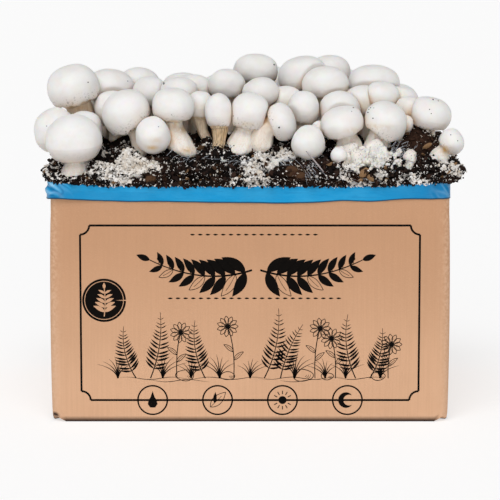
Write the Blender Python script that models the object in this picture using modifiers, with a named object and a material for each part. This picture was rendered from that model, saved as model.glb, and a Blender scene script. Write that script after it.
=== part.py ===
"""Button mushroom grow kit: a carton lined with a plastic bag, full of compost, with mushrooms growing on top.

The origin is on the underside of the carton, below its middle. +X points to the right of the printed front,
+Y to the back and +Z up. Lengths are in metres, and the tables of mushrooms are in millimetres.
"""

import math
from collections import namedtuple

import bmesh
import bpy
from mathutils import Vector
from mathutils.bvhtree import BVHTree

MM = 0.001
GAP = 0.3 * MM  # between pieces that touch

# Carton
CARTON_WIDTH = 390 * MM
CARTON_DEPTH = 290 * MM
CARTON_HEIGHT = 234 * MM
BOARD = 4 * MM
CORNER_RADIUS = 8 * MM
CORNER_STEPS = 3
BASE_EDGE = 2 * MM  # rounding where the walls fold under
BULGE = 1.5 * MM  # how far the full carton's walls swell
BULGE_TOP = 205 * MM  # the walls stay straight above this, under the cuff

# Plastic bag
FILM = 0.8 * MM
CUFF_DROP = 10 * MM  # how far the cuff hangs down outside the rim
CUFF_DROP_MIDDLE = 4.5 * MM  # the cuff hangs this much lower at the middle of the front
TIP_OUT = 2.5 * MM  # the bunched film at the corners stands out this far
TIP_UP = 4 * MM
TIP_REACH = 60 * MM
FILM_STEPS = (7, 5)

# Growing medium
SOIL_LEVEL = 267 * MM
BANK_WIDTH = 11 * MM  # the edge falls away over about this distance
OVERHANG_RIGHT = 11 * MM
OVERHANG_LEFT = 3 * MM
OVERHANG_FRONT = 1.5 * MM
LUMP = 6 * MM
LUMP_SIZE = 44 * MM
SOIL_STEPS = (14, 11)
# Rings of the crumbling edge: millimetres above the film, and share of the overhang
EDGE_PROFILE = ((1, 0.4), (6, 1.0), (14, 1.0))
EDGE_LUMP = 5 * MM
EDGE_LUMP_SIZE = 40 * MM
EDGE_LIFT = 0.25  # share of its height above the film that a point of the edge rises or falls
WAVES = 6  # crossing waves that make the lumps
WAVE_TURN = 2.4  # radians between the directions of one wave and the next
WAVE_STEP = 0.13  # how much shorter each wave is than the one before, as a share of the first
SOIL_INSETS = (4, 14, 30, 54, 86, 124)  # rings of the top surface, millimetres in from the edge
Mound = namedtuple("Mound", "x y height reach_x reach_y")
MOUNDS = (
    Mound(170, -102, 20, 17, 15),
    Mound(-10, 10, 5, 120, 60),
    Mound(0, -74, 9, 210, 34),
    Mound(172, -72, 12, 24, 24),
    Mound(-174, -138, -24, 17, 16),
    Mound(196, -128, -7, 18, 14),
)

# A mushroom's cap is centred at (x, y, z). Its axis leans by lean_x and lean_y for each unit that it rises.
# The stem runs down to the foot, where it is foot wide and stands in the soil.
Mushroom = namedtuple("Mushroom", "x y z width height lean_x lean_y foot_x foot_y stem foot")
FRONT_ROWS = (
    Mushroom(-172, -128, 277, 54, 45, -0.06, -0.12, -174, -134, 21, 27),
    Mushroom(-94, -128, 281, 35, 35, -0.10, -0.90, -86, -110, 14, 16),
    Mushroom(57, -128, 274, 33, 33, 0.05, -0.60, 60, -117, 15, 16),
    Mushroom(198, -116, 274, 27, 23, 0.95, -0.05, 182, -121, 14, 20),
    Mushroom(-76, -112, 310, 42, 31, 0.03, -0.15, -61, -121, 18, 28),
    Mushroom(-31, -110, 303, 28, 34, -0.08, -0.05, -32, -117, 16, 12),
    Mushroom(0, -108, 303, 38, 34, 0.22, -0.10, -13, -120, 19, 28),
    Mushroom(31, -110, 294, 38, 25, 2.50, -0.30, 9, -117, 20, 24),
    Mushroom(91, -116, 294, 43, 28, -0.30, -0.20, 98, -121, 18, 25),
    Mushroom(134, -114, 296, 44, 31, 0.38, -0.20, 121, -121, 23, 27),
    Mushroom(153, -104, 291, 17, 16, 0.45, 0.00, 142, -116, 6, 8),
    Mushroom(68, -106, 285, 17, 17, 0.10, 0.00, 70, -103, 9, 10),
    Mushroom(-122, -106, 303, 50, 40, -0.50, -0.20, -107, -117, 16, 16),
    Mushroom(-191, -98, 282, 44, 42, -0.40, -0.10, -180, -92, 18, 20),
    Mushroom(-164, -100, 283, 38, 36, 0.10, 0.05, -163, -94, 16, 18),
    Mushroom(177, -92, 299, 43, 32, 0.22, -0.10, 172, -84, 18, 20),
    Mushroom(-49, -90, 308, 26, 27, 0.05, -0.05, -39, -98, 15, 11),
    Mushroom(53, -90, 304, 32, 32, 0.08, -0.15, 50, -88, 14, 15),
    Mushroom(89, -84, 303, 43, 32, 0.00, -0.10, 90, -80, 17, 18),
    Mushroom(-137, -78, 303, 36, 34, -0.25, -0.05, -134, -76, 15, 16),
    Mushroom(-176, -74, 325, 51, 37, -0.30, -0.10, -160, -68, 25, 26),
    Mushroom(131, -72, 314, 36, 29, 0.15, -0.10, 130, -68, 14, 15),
    Mushroom(10, -72, 318, 39, 28, -0.25, -0.15, 16, -70, 15, 16),
    Mushroom(113, -68, 309, 40, 30, -0.05, -0.10, 113, -62, 14, 15),
    Mushroom(-71, -70, 319, 40, 28, -0.08, -0.05, -70, -66, 15, 16),
    Mushroom(36, -64, 308, 37, 31, -0.05, 0.00, 36, -60, 14, 15),
    Mushroom(-100, -60, 316, 39, 31, 0.00, -0.05, -99, -58, 14, 15),
    Mushroom(-23, -60, 325, 36, 28, 0.05, -0.08, -22, -54, 15, 16),
    Mushroom(75, -56, 326, 46, 31, -0.08, -0.10, 75, -50, 18, 19),
    Mushroom(152, -54, 307, 34, 29, 0.15, -0.05, 150, -46, 14, 15),
    Mushroom(-56, -46, 319, 36, 29, 0.05, 0.00, -55, -42, 14, 15),
    Mushroom(87, -135, 263, 16, 15, -0.20, -0.20, 84, -134, 8, 8),
    Mushroom(-142, -44, 320, 52, 34, 0.05, -0.05, -138, -38, 18, 19),
    Mushroom(52, -30, 333, 50, 33, -0.25, -0.10, 47, -26, 20, 21),
    Mushroom(157, -84, 302, 27, 26, 0.10, 0.00, 156, -80, 12, 13),
    Mushroom(126, -32, 324, 53, 34, 0.06, -0.08, 123, -26, 20, 21),
    Mushroom(-113, -18, 323, 42, 28, 0.05, 0.00, -111, -12, 15, 16),
    Mushroom(6, -12, 336, 44, 30, 0.02, -0.05, 6, -8, 18, 19),
    Mushroom(82, -4, 334, 42, 30, 0.08, -0.03, 80, 2, 16, 17),
)
BACK_ROWS = (
    Mushroom(-168, 14, 306, 48, 36, -0.20, 0.00, -160, 16, 18, 20),
    Mushroom(-62, 4, 311, 46, 34, -0.05, 0.05, -60, 8, 18, 19),
    Mushroom(-116, 32, 304, 50, 36, 0.00, 0.08, -114, 34, 19, 21),
    Mushroom(-14, 40, 310, 50, 36, -0.05, 0.10, -14, 40, 20, 21),
    Mushroom(50, 46, 314, 46, 34, 0.05, 0.08, 50, 48, 18, 19),
    Mushroom(150, 22, 301, 48, 34, 0.15, 0.05, 146, 24, 18, 20),
    Mushroom(98, 44, 312, 48, 36, 0.00, 0.10, 96, 44, 19, 21),
    Mushroom(-162, 66, 300, 50, 36, -0.15, 0.05, -154, 66, 19, 21),
    Mushroom(-70, 62, 308, 44, 34, 0.05, 0.10, -68, 60, 17, 19),
    Mushroom(-114, 84, 302, 46, 34, -0.05, 0.15, -112, 80, 18, 20),
    Mushroom(18, 78, 312, 50, 36, 0.00, 0.12, 18, 74, 19, 21),
    Mushroom(66, 96, 300, 44, 34, 0.05, 0.20, 64, 90, 17, 19),
    Mushroom(128, 86, 299, 48, 35, 0.12, 0.15, 123, 82, 18, 20),
    Mushroom(-34, 100, 300, 46, 36, -0.05, 0.25, -32, 94, 18, 20),
    Mushroom(-152, 116, 286, 44, 34, -0.15, 0.35, -146, 110, 17, 20),
    Mushroom(-82, 122, 288, 48, 38, 0.00, 0.40, -80, 113, 18, 21),
    Mushroom(22, 124, 288, 50, 38, 0.05, 0.40, 22, 115, 19, 22),
    Mushroom(98, 126, 286, 42, 34, 0.10, 0.35, 95, 118, 16, 19),
)
FRONT_SIDES = 8  # sides of a turned mushroom
BACK_SIDES = 7
FOOT_DEPTH = 7 * MM  # how deep a stem stands in the soil
# The cap's turned outline: share of its half width, share of its height above the centre
CAP_OUTLINE = ((0.0, 0.56), (0.55, 0.48), (0.89, 0.22), (1.0, -0.06), (0.82, -0.36))
UNDERSIDE = -0.40
CAP_LAYER = "on_cap"
STEM_STATIONS = (0.55, 1.0)  # shares of the stem's length, from the cap to the foot
STRAIGHT = 3 * MM  # a stem that bends less than this needs no station on its way
CLEARANCE = 0.42 * MM  # how much a cutter is grown, so that its flat faces stand off by the gap

COLOURS = {
    "kraft": ((0.58, 0.34, 0.20, 1), 0.85, 0.0),
    "blue_film": ((0.02, 0.29, 0.61, 1), 0.35, 0.0),
    "compost": ((0.035, 0.024, 0.018, 1), 0.95, 0.0),
    "mushroom": ((0.84, 0.82, 0.78, 1), 0.6, 0.0),
}


def clear_scene():
    for thing in list(bpy.data.objects):
        bpy.data.objects.remove(thing)


def make_material(name):
    colour, roughness, metallic = COLOURS[name]
    material = bpy.data.materials.new(name)
    material.use_nodes = True
    shader = material.node_tree.nodes["Principled BSDF"]
    shader.inputs["Base Color"].default_value = colour
    shader.inputs["Roughness"].default_value = roughness
    shader.inputs["Metallic"].default_value = metallic
    return material


def make_collection(name):
    collection = bpy.data.collections.new(name)
    bpy.context.scene.collection.children.link(collection)
    return collection


def make_object(name, bm, collection, material=None):
    """Turns a bmesh into a named object with its faces pointing out."""
    bmesh.ops.recalc_face_normals(bm, faces=bm.faces)
    mesh = bpy.data.meshes.new(name)
    bm.to_mesh(mesh)
    bm.free()
    if material:
        mesh.materials.append(material)
    thing = bpy.data.objects.new(name, mesh)
    collection.objects.link(thing)
    return thing


def make_cutter(name, mesh, collection):
    cutter = bpy.data.objects.new(name, mesh)
    cutter.hide_render = True
    cutter.display_type = "WIRE"
    collection.objects.link(cutter)
    return cutter


def rounded_rectangle(half_x, half_y, radius, steps):
    """Points anticlockwise round a rectangle with round corners, from the arc between -Y and +X.

    Each arc has CORNER_STEPS steps, and steps gives those along a side in X and along a side in Y.
    """
    corners = ((1, -1), (1, 1), (-1, 1), (-1, -1))
    points = []
    for turn, (sign_x, sign_y) in enumerate(corners):
        middle = Vector((sign_x * (half_x - radius), sign_y * (half_y - radius)))
        for step in range(CORNER_STEPS + 1):
            angle = math.pi / 2 * (turn - 1 + step / CORNER_STEPS)
            points.append(middle + radius * Vector((math.cos(angle), math.sin(angle))))
        start = points[-1]
        on_x = turn % 2
        run = Vector((-2 * sign_x * (half_x - radius), 0)) if on_x else Vector((0, 2 * (radius - half_y) * sign_y))
        count = steps[0] if on_x else steps[1]
        points += [start + run * step / count for step in range(1, count)]
    return points


def loft(bm, rings):
    """Joins rings of equal length with faces, and returns the rings of vertices."""
    loops = [[bm.verts.new(point) for point in ring] for ring in rings]
    for lower, upper in zip(loops, loops[1:]):
        for column in range(len(lower)):
            after = (column + 1) % len(lower)
            bm.faces.new((lower[column], lower[after], upper[after], upper[column]))
    return loops


def swell(z):
    """How far the carton's wall stands out at a height: nothing at the foot and under the cuff."""
    share = min(max(z / BULGE_TOP, 0), 1)
    return BULGE * math.sin(math.pi * share) ** 0.6


def build_carton(collection, material):
    """A box with no top: its vertical and lower edges are rounded and its walls swell a little."""
    bm = bmesh.new()
    bmesh.ops.create_cube(bm, size=1)
    size = Vector((CARTON_WIDTH, CARTON_DEPTH, CARTON_HEIGHT))
    bmesh.ops.scale(bm, vec=size, verts=bm.verts)
    bmesh.ops.translate(bm, vec=(0, 0, CARTON_HEIGHT / 2), verts=bm.verts)
    top = [face for face in bm.faces if face.normal.z > 0.5]
    bmesh.ops.delete(bm, geom=top, context="FACES")
    upright = [edge for edge in bm.edges if abs(edge.verts[0].co.z - edge.verts[1].co.z) > BOARD]
    bmesh.ops.bevel(bm, geom=upright, offset=CORNER_RADIUS, segments=CORNER_STEPS, profile=0.5, affect="EDGES")
    base = [edge for edge in bm.edges if max(v.co.z for v in edge.verts) < BOARD]
    bmesh.ops.bevel(bm, geom=base, offset=BASE_EDGE, segments=1, affect="EDGES")
    for level in (0.2, 0.5, 0.8):
        bmesh.ops.bisect_plane(
            bm,
            geom=bm.verts[:] + bm.edges[:] + bm.faces[:],
            plane_co=(0, 0, level * CARTON_HEIGHT),
            plane_no=(0, 0, 1),
        )
    half = Vector((CARTON_WIDTH / 2, CARTON_DEPTH / 2))
    for vert in bm.verts:
        out = swell(vert.co.z)
        if abs(vert.co.x) > half.x - CORNER_RADIUS:
            vert.co.x += math.copysign(out, vert.co.x)
        if abs(vert.co.y) > half.y - CORNER_RADIUS:
            vert.co.y += math.copysign(out, vert.co.y)
    carton = make_object("carton", bm, collection, material)
    wall = carton.modifiers.new("board", "SOLIDIFY")
    wall.thickness = BOARD
    wall.offset = -1
    wall.use_even_offset = True
    return carton


def corner_share(x, y):
    """1 at a corner of the rim, falling evenly to 0 at the reach of the bunched film."""
    from_x = CARTON_WIDTH / 2 - abs(x)
    from_y = CARTON_DEPTH / 2 - abs(y)
    return max(1 - math.hypot(from_x, from_y) / TIP_REACH, 0)


def build_film_bag(collection, material):
    """One open skin up the inside of the carton, over its rim and down the outside, then thickened."""
    inward = BOARD + GAP + FILM / 2
    outward = GAP + FILM / 2
    half_x = CARTON_WIDTH / 2
    half_y = CARTON_DEPTH / 2
    rim = CARTON_HEIGHT + outward
    inside = rounded_rectangle(half_x - inward, half_y - inward, CORNER_RADIUS - BOARD, FILM_STEPS)
    outside = rounded_rectangle(half_x + outward, half_y + outward, CORNER_RADIUS + outward, FILM_STEPS)
    rings = [[(x, y, inward) for x, y in inside]]
    rings.append([(x, y, rim) for x, y in inside])
    over = []
    down = []
    for x, y in outside:
        bunch = corner_share(x, y)
        away = Vector((x, y)).normalized() * bunch * TIP_OUT
        lower = CUFF_DROP_MIDDLE * math.cos(math.pi * x / CARTON_WIDTH)
        over.append((x + away.x * 0.4, y + away.y * 0.4, rim + bunch * TIP_UP))
        down.append((x + away.x, y + away.y, rim - CUFF_DROP - lower))
    rings += [over, down]
    bm = bmesh.new()
    loops = loft(bm, rings)
    bm.faces.new(list(reversed(loops[0])))
    bag = make_object("film_bag", bm, collection, material)
    skin = bag.modifiers.new("film", "SOLIDIFY")
    skin.thickness = FILM
    skin.offset = 0
    skin.use_even_offset = True
    return bag


def lumps(x, y, size, shift=0.0):
    """Crossing waves of about that size, which add up to uneven lumps between about -1 and 1."""
    total = 0
    for wave in range(WAVES):
        turn = wave * WAVE_TURN + shift
        along = x * math.cos(turn) + y * math.sin(turn)
        length = size * (1 - wave * WAVE_STEP)
        total += math.sin(2 * math.pi * along / length + wave * wave + shift) / (1 + 0.3 * wave)
    return total / 2.2


def soil_height(x, y):
    """Height of the top of the growing medium, away from its edge."""
    height = SOIL_LEVEL
    for mound in MOUNDS:
        across = (x / MM - mound.x) / mound.reach_x
        along = (y / MM - mound.y) / mound.reach_y
        height += mound.height * MM * math.exp(-(across**2) - along**2)
    return height + LUMP * lumps(x, y, LUMP_SIZE)


def bank(x, y, height):
    """Height after the edge falls away towards the rim."""
    inset = min(CARTON_WIDTH / 2 - abs(x), CARTON_DEPTH / 2 - abs(y))
    low = CARTON_HEIGHT + EDGE_PROFILE[-1][0] * MM
    return low + (height - low) * (1 - math.exp(-max(inset, 0) / BANK_WIDTH))


def overhang(x, y, rise):
    """How far the crumbling edge hangs over the film, by side and lump by lump."""
    if abs(x) / CARTON_WIDTH > abs(y) / CARTON_DEPTH:
        reach = OVERHANG_RIGHT if x > 0 else OVERHANG_LEFT
    else:
        reach = OVERHANG_FRONT
    return reach + EDGE_LUMP * lumps(x, y, EDGE_LUMP_SIZE, rise)


def build_growing_medium(collection, material):
    """Rings from the floor of the bag up its sides, out over the film and in across the lumpy top."""
    wall = BOARD + 2 * GAP + FILM
    half_x = CARTON_WIDTH / 2 - wall
    half_y = CARTON_DEPTH / 2 - wall
    floor = BOARD + 2 * GAP + 2 * FILM
    lip = CARTON_HEIGHT + 3 * GAP + FILM
    plan = rounded_rectangle(half_x, half_y, CORNER_RADIUS - BOARD, SOIL_STEPS)
    rings = [[(x, y, floor) for x, y in plan]]
    rings.append([(x, y, lip + corner_share(x, y) * TIP_UP) for x, y in plan])
    for rise, share in EDGE_PROFILE:
        ring = []
        for x, y in rounded_rectangle(CARTON_WIDTH / 2, CARTON_DEPTH / 2, CORNER_RADIUS, SOIL_STEPS):
            out = overhang(x, y, rise) * share
            away = Vector((math.copysign(out, x), 0)) if abs(x) > half_x else Vector((0, math.copysign(out, y)))
            lift = 1 + EDGE_LIFT * lumps(y, x, EDGE_LUMP_SIZE, rise)
            above = corner_share(x, y) * TIP_UP + rise * MM * lift
            ring.append((x + away.x, y + away.y, lip + above))
        rings.append(ring)
    for inset in SOIL_INSETS:
        ring_x = CARTON_WIDTH / 2 - inset * MM
        ring_y = CARTON_DEPTH / 2 - inset * MM
        ring = []
        for x, y in rounded_rectangle(ring_x, ring_y, min(18 * MM, ring_y * 0.9), SOIL_STEPS):
            ring.append((x, y, bank(x, y, soil_height(x, y))))
        rings.append(ring)
    bm = bmesh.new()
    loops = loft(bm, rings)
    bm.faces.new(list(reversed(loops[0])))
    bm.faces.new(loops[-1])
    bmesh.ops.triangulate(bm, faces=bm.faces)
    return make_object("growing_medium", bm, collection, material)


def turn_outline(outline, sides):
    """Spins an outline of (radius, height) points about Z into a closed body of so many sides."""
    bm = bmesh.new()
    verts = [bm.verts.new((radius, 0, height)) for radius, height in outline]
    for upper, lower in zip(verts, verts[1:]):
        bm.edges.new((upper, lower))
    bmesh.ops.spin(
        bm,
        geom=bm.verts[:] + bm.edges[:],
        axis=(0, 0, 1),
        cent=(0, 0, 0),
        angle=2 * math.pi,
        steps=sides,
        use_duplicate=False,
    )
    bmesh.ops.remove_doubles(bm, verts=bm.verts, dist=0.01 * MM)
    return bm


def shape_mushroom(mushroom, sides):
    """Turns the outline in plain shares, then sets the cap at its lean and runs the stem down to the foot."""
    centre = Vector((mushroom.x, mushroom.y, mushroom.z)) * MM
    axis = Vector((mushroom.lean_x, mushroom.lean_y, 1)).normalized()
    across = Vector((0, 1, 0)).cross(axis).normalized()
    along = axis.cross(across)
    half = mushroom.width / 2 * MM
    height = mushroom.height * MM
    foot = Vector((mushroom.foot_x, mushroom.foot_y, 0)) * MM
    foot.z = bank(foot.x, foot.y, soil_height(foot.x, foot.y)) - FOOT_DEPTH
    start = centre + axis * height * UNDERSIDE
    bend = start - axis * (start - foot).length * 0.4
    bent = (bend - start).cross(foot - start).length / (foot - start).length > STRAIGHT
    stations = STEM_STATIONS if bent else STEM_STATIONS[-1:]
    outline = list(CAP_OUTLINE)
    outline.append((mushroom.stem / mushroom.width * 1.15, UNDERSIDE))
    outline += [(1.0, UNDERSIDE - station) for station in stations]
    outline.append((0.0, UNDERSIDE - stations[-1]))
    bm = turn_outline(outline, sides)
    on_cap = bm.verts.layers.int.new(CAP_LAYER)
    for vert in bm.verts:
        x, y, z = vert.co
        if z > UNDERSIDE - 0.01:
            vert.co = centre + (across * x + along * y) * half + axis * z * height
            vert[on_cap] = 1
            continue
        share = UNDERSIDE - z
        spine = start * (1 - share) ** 2 + bend * 2 * share * (1 - share) + foot * share**2
        upright = axis.lerp(Vector((0, 0, 1)), share).normalized()
        side_x = Vector((0, 1, 0)).cross(upright).normalized()
        side_y = upright.cross(side_x)
        width = mushroom.stem + (mushroom.foot - mushroom.stem) * share**2
        vert.co = spine + (side_x * x + side_y * y) * width / 2 * MM
    bmesh.ops.recalc_face_normals(bm, faces=bm.faces)
    return bm


def press_flat(bodies, mushrooms):
    """Where two caps would run into each other, both are pressed flat against the plane between them."""
    for first in range(len(bodies)):
        for second in range(first):
            one, other = mushrooms[first], mushrooms[second]
            centre = Vector((one.x, one.y, one.z)) * MM
            apart = Vector((other.x, other.y, other.z)) * MM - centre
            reach = (one.width + other.width) / 2 * MM
            if apart.length > reach + 4 * MM:
                continue
            normal = apart.normalized()
            plane = centre + apart * one.width / (one.width + other.width)
            for body, side in ((bodies[first], 1), (bodies[second], -1)):
                on_cap = body.verts.layers.int[CAP_LAYER]
                for vert in body.verts:
                    past = (vert.co - plane).dot(normal) * side + GAP * 0.6
                    if past > 0 and vert[on_cap]:
                        vert.co -= normal * side * past


def grown_copy(bm, name):
    """A mesh of the body, grown outwards by the clearance."""
    grown = bm.copy()
    grown.normal_update()
    moves = [(vert, vert.normal.copy()) for vert in grown.verts]
    for vert, normal in moves:
        vert.co += normal * CLEARANCE
    mesh = bpy.data.meshes.new(name)
    grown.to_mesh(mesh)
    grown.free()
    return mesh


def largest_body(bm):
    """Keeps only the biggest of the separate bodies in the mesh."""
    left = set(bm.verts)
    bodies = []
    while left:
        body = {left.pop()}
        fringe = set(body)
        while fringe:
            fringe = {edge.other_vert(vert) for vert in fringe for edge in vert.link_edges} & left
            left -= fringe
            body |= fringe
        bodies.append(body)
    bodies.sort(key=len)
    small = [vert for body in bodies[:-1] for vert in body]
    bmesh.ops.delete(bm, geom=small, context="VERTS")


def cut(thing, cutter):
    """Takes the cutter out of the object and returns what is left as a bmesh."""
    boolean = thing.modifiers.new("cut", "BOOLEAN")
    boolean.operation = "DIFFERENCE"
    boolean.solver = "EXACT"
    boolean.object = cutter
    evaluated = thing.evaluated_get(bpy.context.evaluated_depsgraph_get())
    mesh = bpy.data.meshes.new_from_object(evaluated)
    thing.modifiers.remove(boolean)
    bm = bmesh.new()
    bm.from_mesh(mesh)
    bpy.data.meshes.remove(mesh)
    bmesh.ops.remove_doubles(bm, verts=bm.verts, dist=0.02 * MM)
    bmesh.ops.dissolve_degenerate(bm, edges=bm.edges, dist=0.02 * MM)
    largest_body(bm)
    return bm


def replace_mesh(thing, bm):
    bm.to_mesh(thing.data)
    bm.free()


def read_mesh(thing):
    bm = bmesh.new()
    bm.from_mesh(thing.data)
    return bm


def build_mushrooms(collection, cutters, medium, material):
    """Makes every mushroom standing on the soil; one that would run into an earlier one gives way to it."""
    soil_bm = read_mesh(medium)
    soil_room = make_cutter("soil_room", grown_copy(soil_bm, "soil_room"), cutters)
    soil_bm.free()
    mushrooms = FRONT_ROWS + BACK_ROWS
    bodies = []
    for index, mushroom in enumerate(mushrooms):
        sides = FRONT_SIDES if index < len(FRONT_ROWS) else BACK_SIDES
        bodies.append(shape_mushroom(mushroom, sides))
    press_flat(bodies, mushrooms)
    done = []
    for index, bm in enumerate(bodies):
        name = f"mushroom_{index + 1:02d}"
        bmesh.ops.triangulate(bm, faces=bm.faces)
        thing = make_object(name, bm, collection, material)
        replace_mesh(thing, cut(thing, soil_room))
        whole = read_mesh(thing)
        tree = BVHTree.FromBMesh(whole)
        whole.free()
        for room, room_tree in done:
            if tree.overlap(room_tree):
                replace_mesh(thing, cut(thing, room))
        final = read_mesh(thing)
        grown = grown_copy(final, name + "_room")
        final.free()
        room = make_cutter(name + "_room", grown, cutters)
        grown_bm = read_mesh(room)
        done.append((room, BVHTree.FromBMesh(grown_bm)))
        grown_bm.free()


def build():
    clear_scene()
    parts = make_collection("mushroom_grow_kit")
    cutters = make_collection("cutters")
    build_carton(parts, make_material("kraft"))
    build_film_bag(parts, make_material("blue_film"))
    medium = build_growing_medium(parts, make_material("compost"))
    build_mushrooms(parts, cutters, medium, make_material("mushroom"))


build()
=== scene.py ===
"""Looks of the button mushroom grow kit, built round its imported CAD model.

Shapes are worked out in millimetres in the CAD model's frame: X to the right of the printed front, Y to the
back, Z up from the underside of the carton. add_mesh turns them into metres.
"""

import math
from collections import namedtuple

import bpy
import numpy as np
from mathutils import Matrix


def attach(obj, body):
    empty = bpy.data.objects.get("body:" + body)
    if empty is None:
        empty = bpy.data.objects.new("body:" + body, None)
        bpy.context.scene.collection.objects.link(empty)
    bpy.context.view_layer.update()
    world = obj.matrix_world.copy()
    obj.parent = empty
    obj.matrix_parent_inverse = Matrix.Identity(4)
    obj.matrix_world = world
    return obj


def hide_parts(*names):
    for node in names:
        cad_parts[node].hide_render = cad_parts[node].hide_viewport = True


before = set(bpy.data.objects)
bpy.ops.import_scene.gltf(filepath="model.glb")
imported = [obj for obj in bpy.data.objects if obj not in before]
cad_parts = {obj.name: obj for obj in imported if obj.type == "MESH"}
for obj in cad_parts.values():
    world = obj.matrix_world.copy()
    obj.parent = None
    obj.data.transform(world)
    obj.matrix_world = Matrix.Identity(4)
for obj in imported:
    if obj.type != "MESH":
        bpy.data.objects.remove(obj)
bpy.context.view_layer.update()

MM = 0.001
GAP = 0.3

# The carton and the bag, as in the CAD model
CARTON_WIDTH = 390
CARTON_DEPTH = 290
CARTON_HEIGHT = 234
BOARD = 4
CORNER_RADIUS = 8
BASE_EDGE = 2
BULGE = 1.5
BULGE_TOP = 205
FILM = 0.8
CUFF_DROP = 10
CUFF_DROP_MIDDLE = 4.5
TIP_OUT = 2.5
TIP_UP = 4
TIP_REACH = 60

# The growing medium, as in the CAD model
SOIL_LEVEL = 267
BANK_WIDTH = 11
OVERHANG_RIGHT = 11
OVERHANG_LEFT = 3
OVERHANG_FRONT = 1.5
LUMP = 6
LUMP_SIZE = 44
EDGE_RISE = 14
EDGE_LUMP = 5
EDGE_LUMP_SIZE = 40
EDGE_LIFT = 0.25
WAVES = 6
WAVE_TURN = 2.4
WAVE_STEP = 0.13
Mound = namedtuple("Mound", "x y height reach_x reach_y")
MOUNDS = (
    Mound(170, -102, 20, 17, 15),
    Mound(-10, 10, 5, 120, 60),
    Mound(0, -74, 9, 210, 34),
    Mound(172, -72, 12, 24, 24),
    Mound(-174, -138, -24, 17, 16),
    Mound(196, -128, -7, 18, 14),
)

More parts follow.
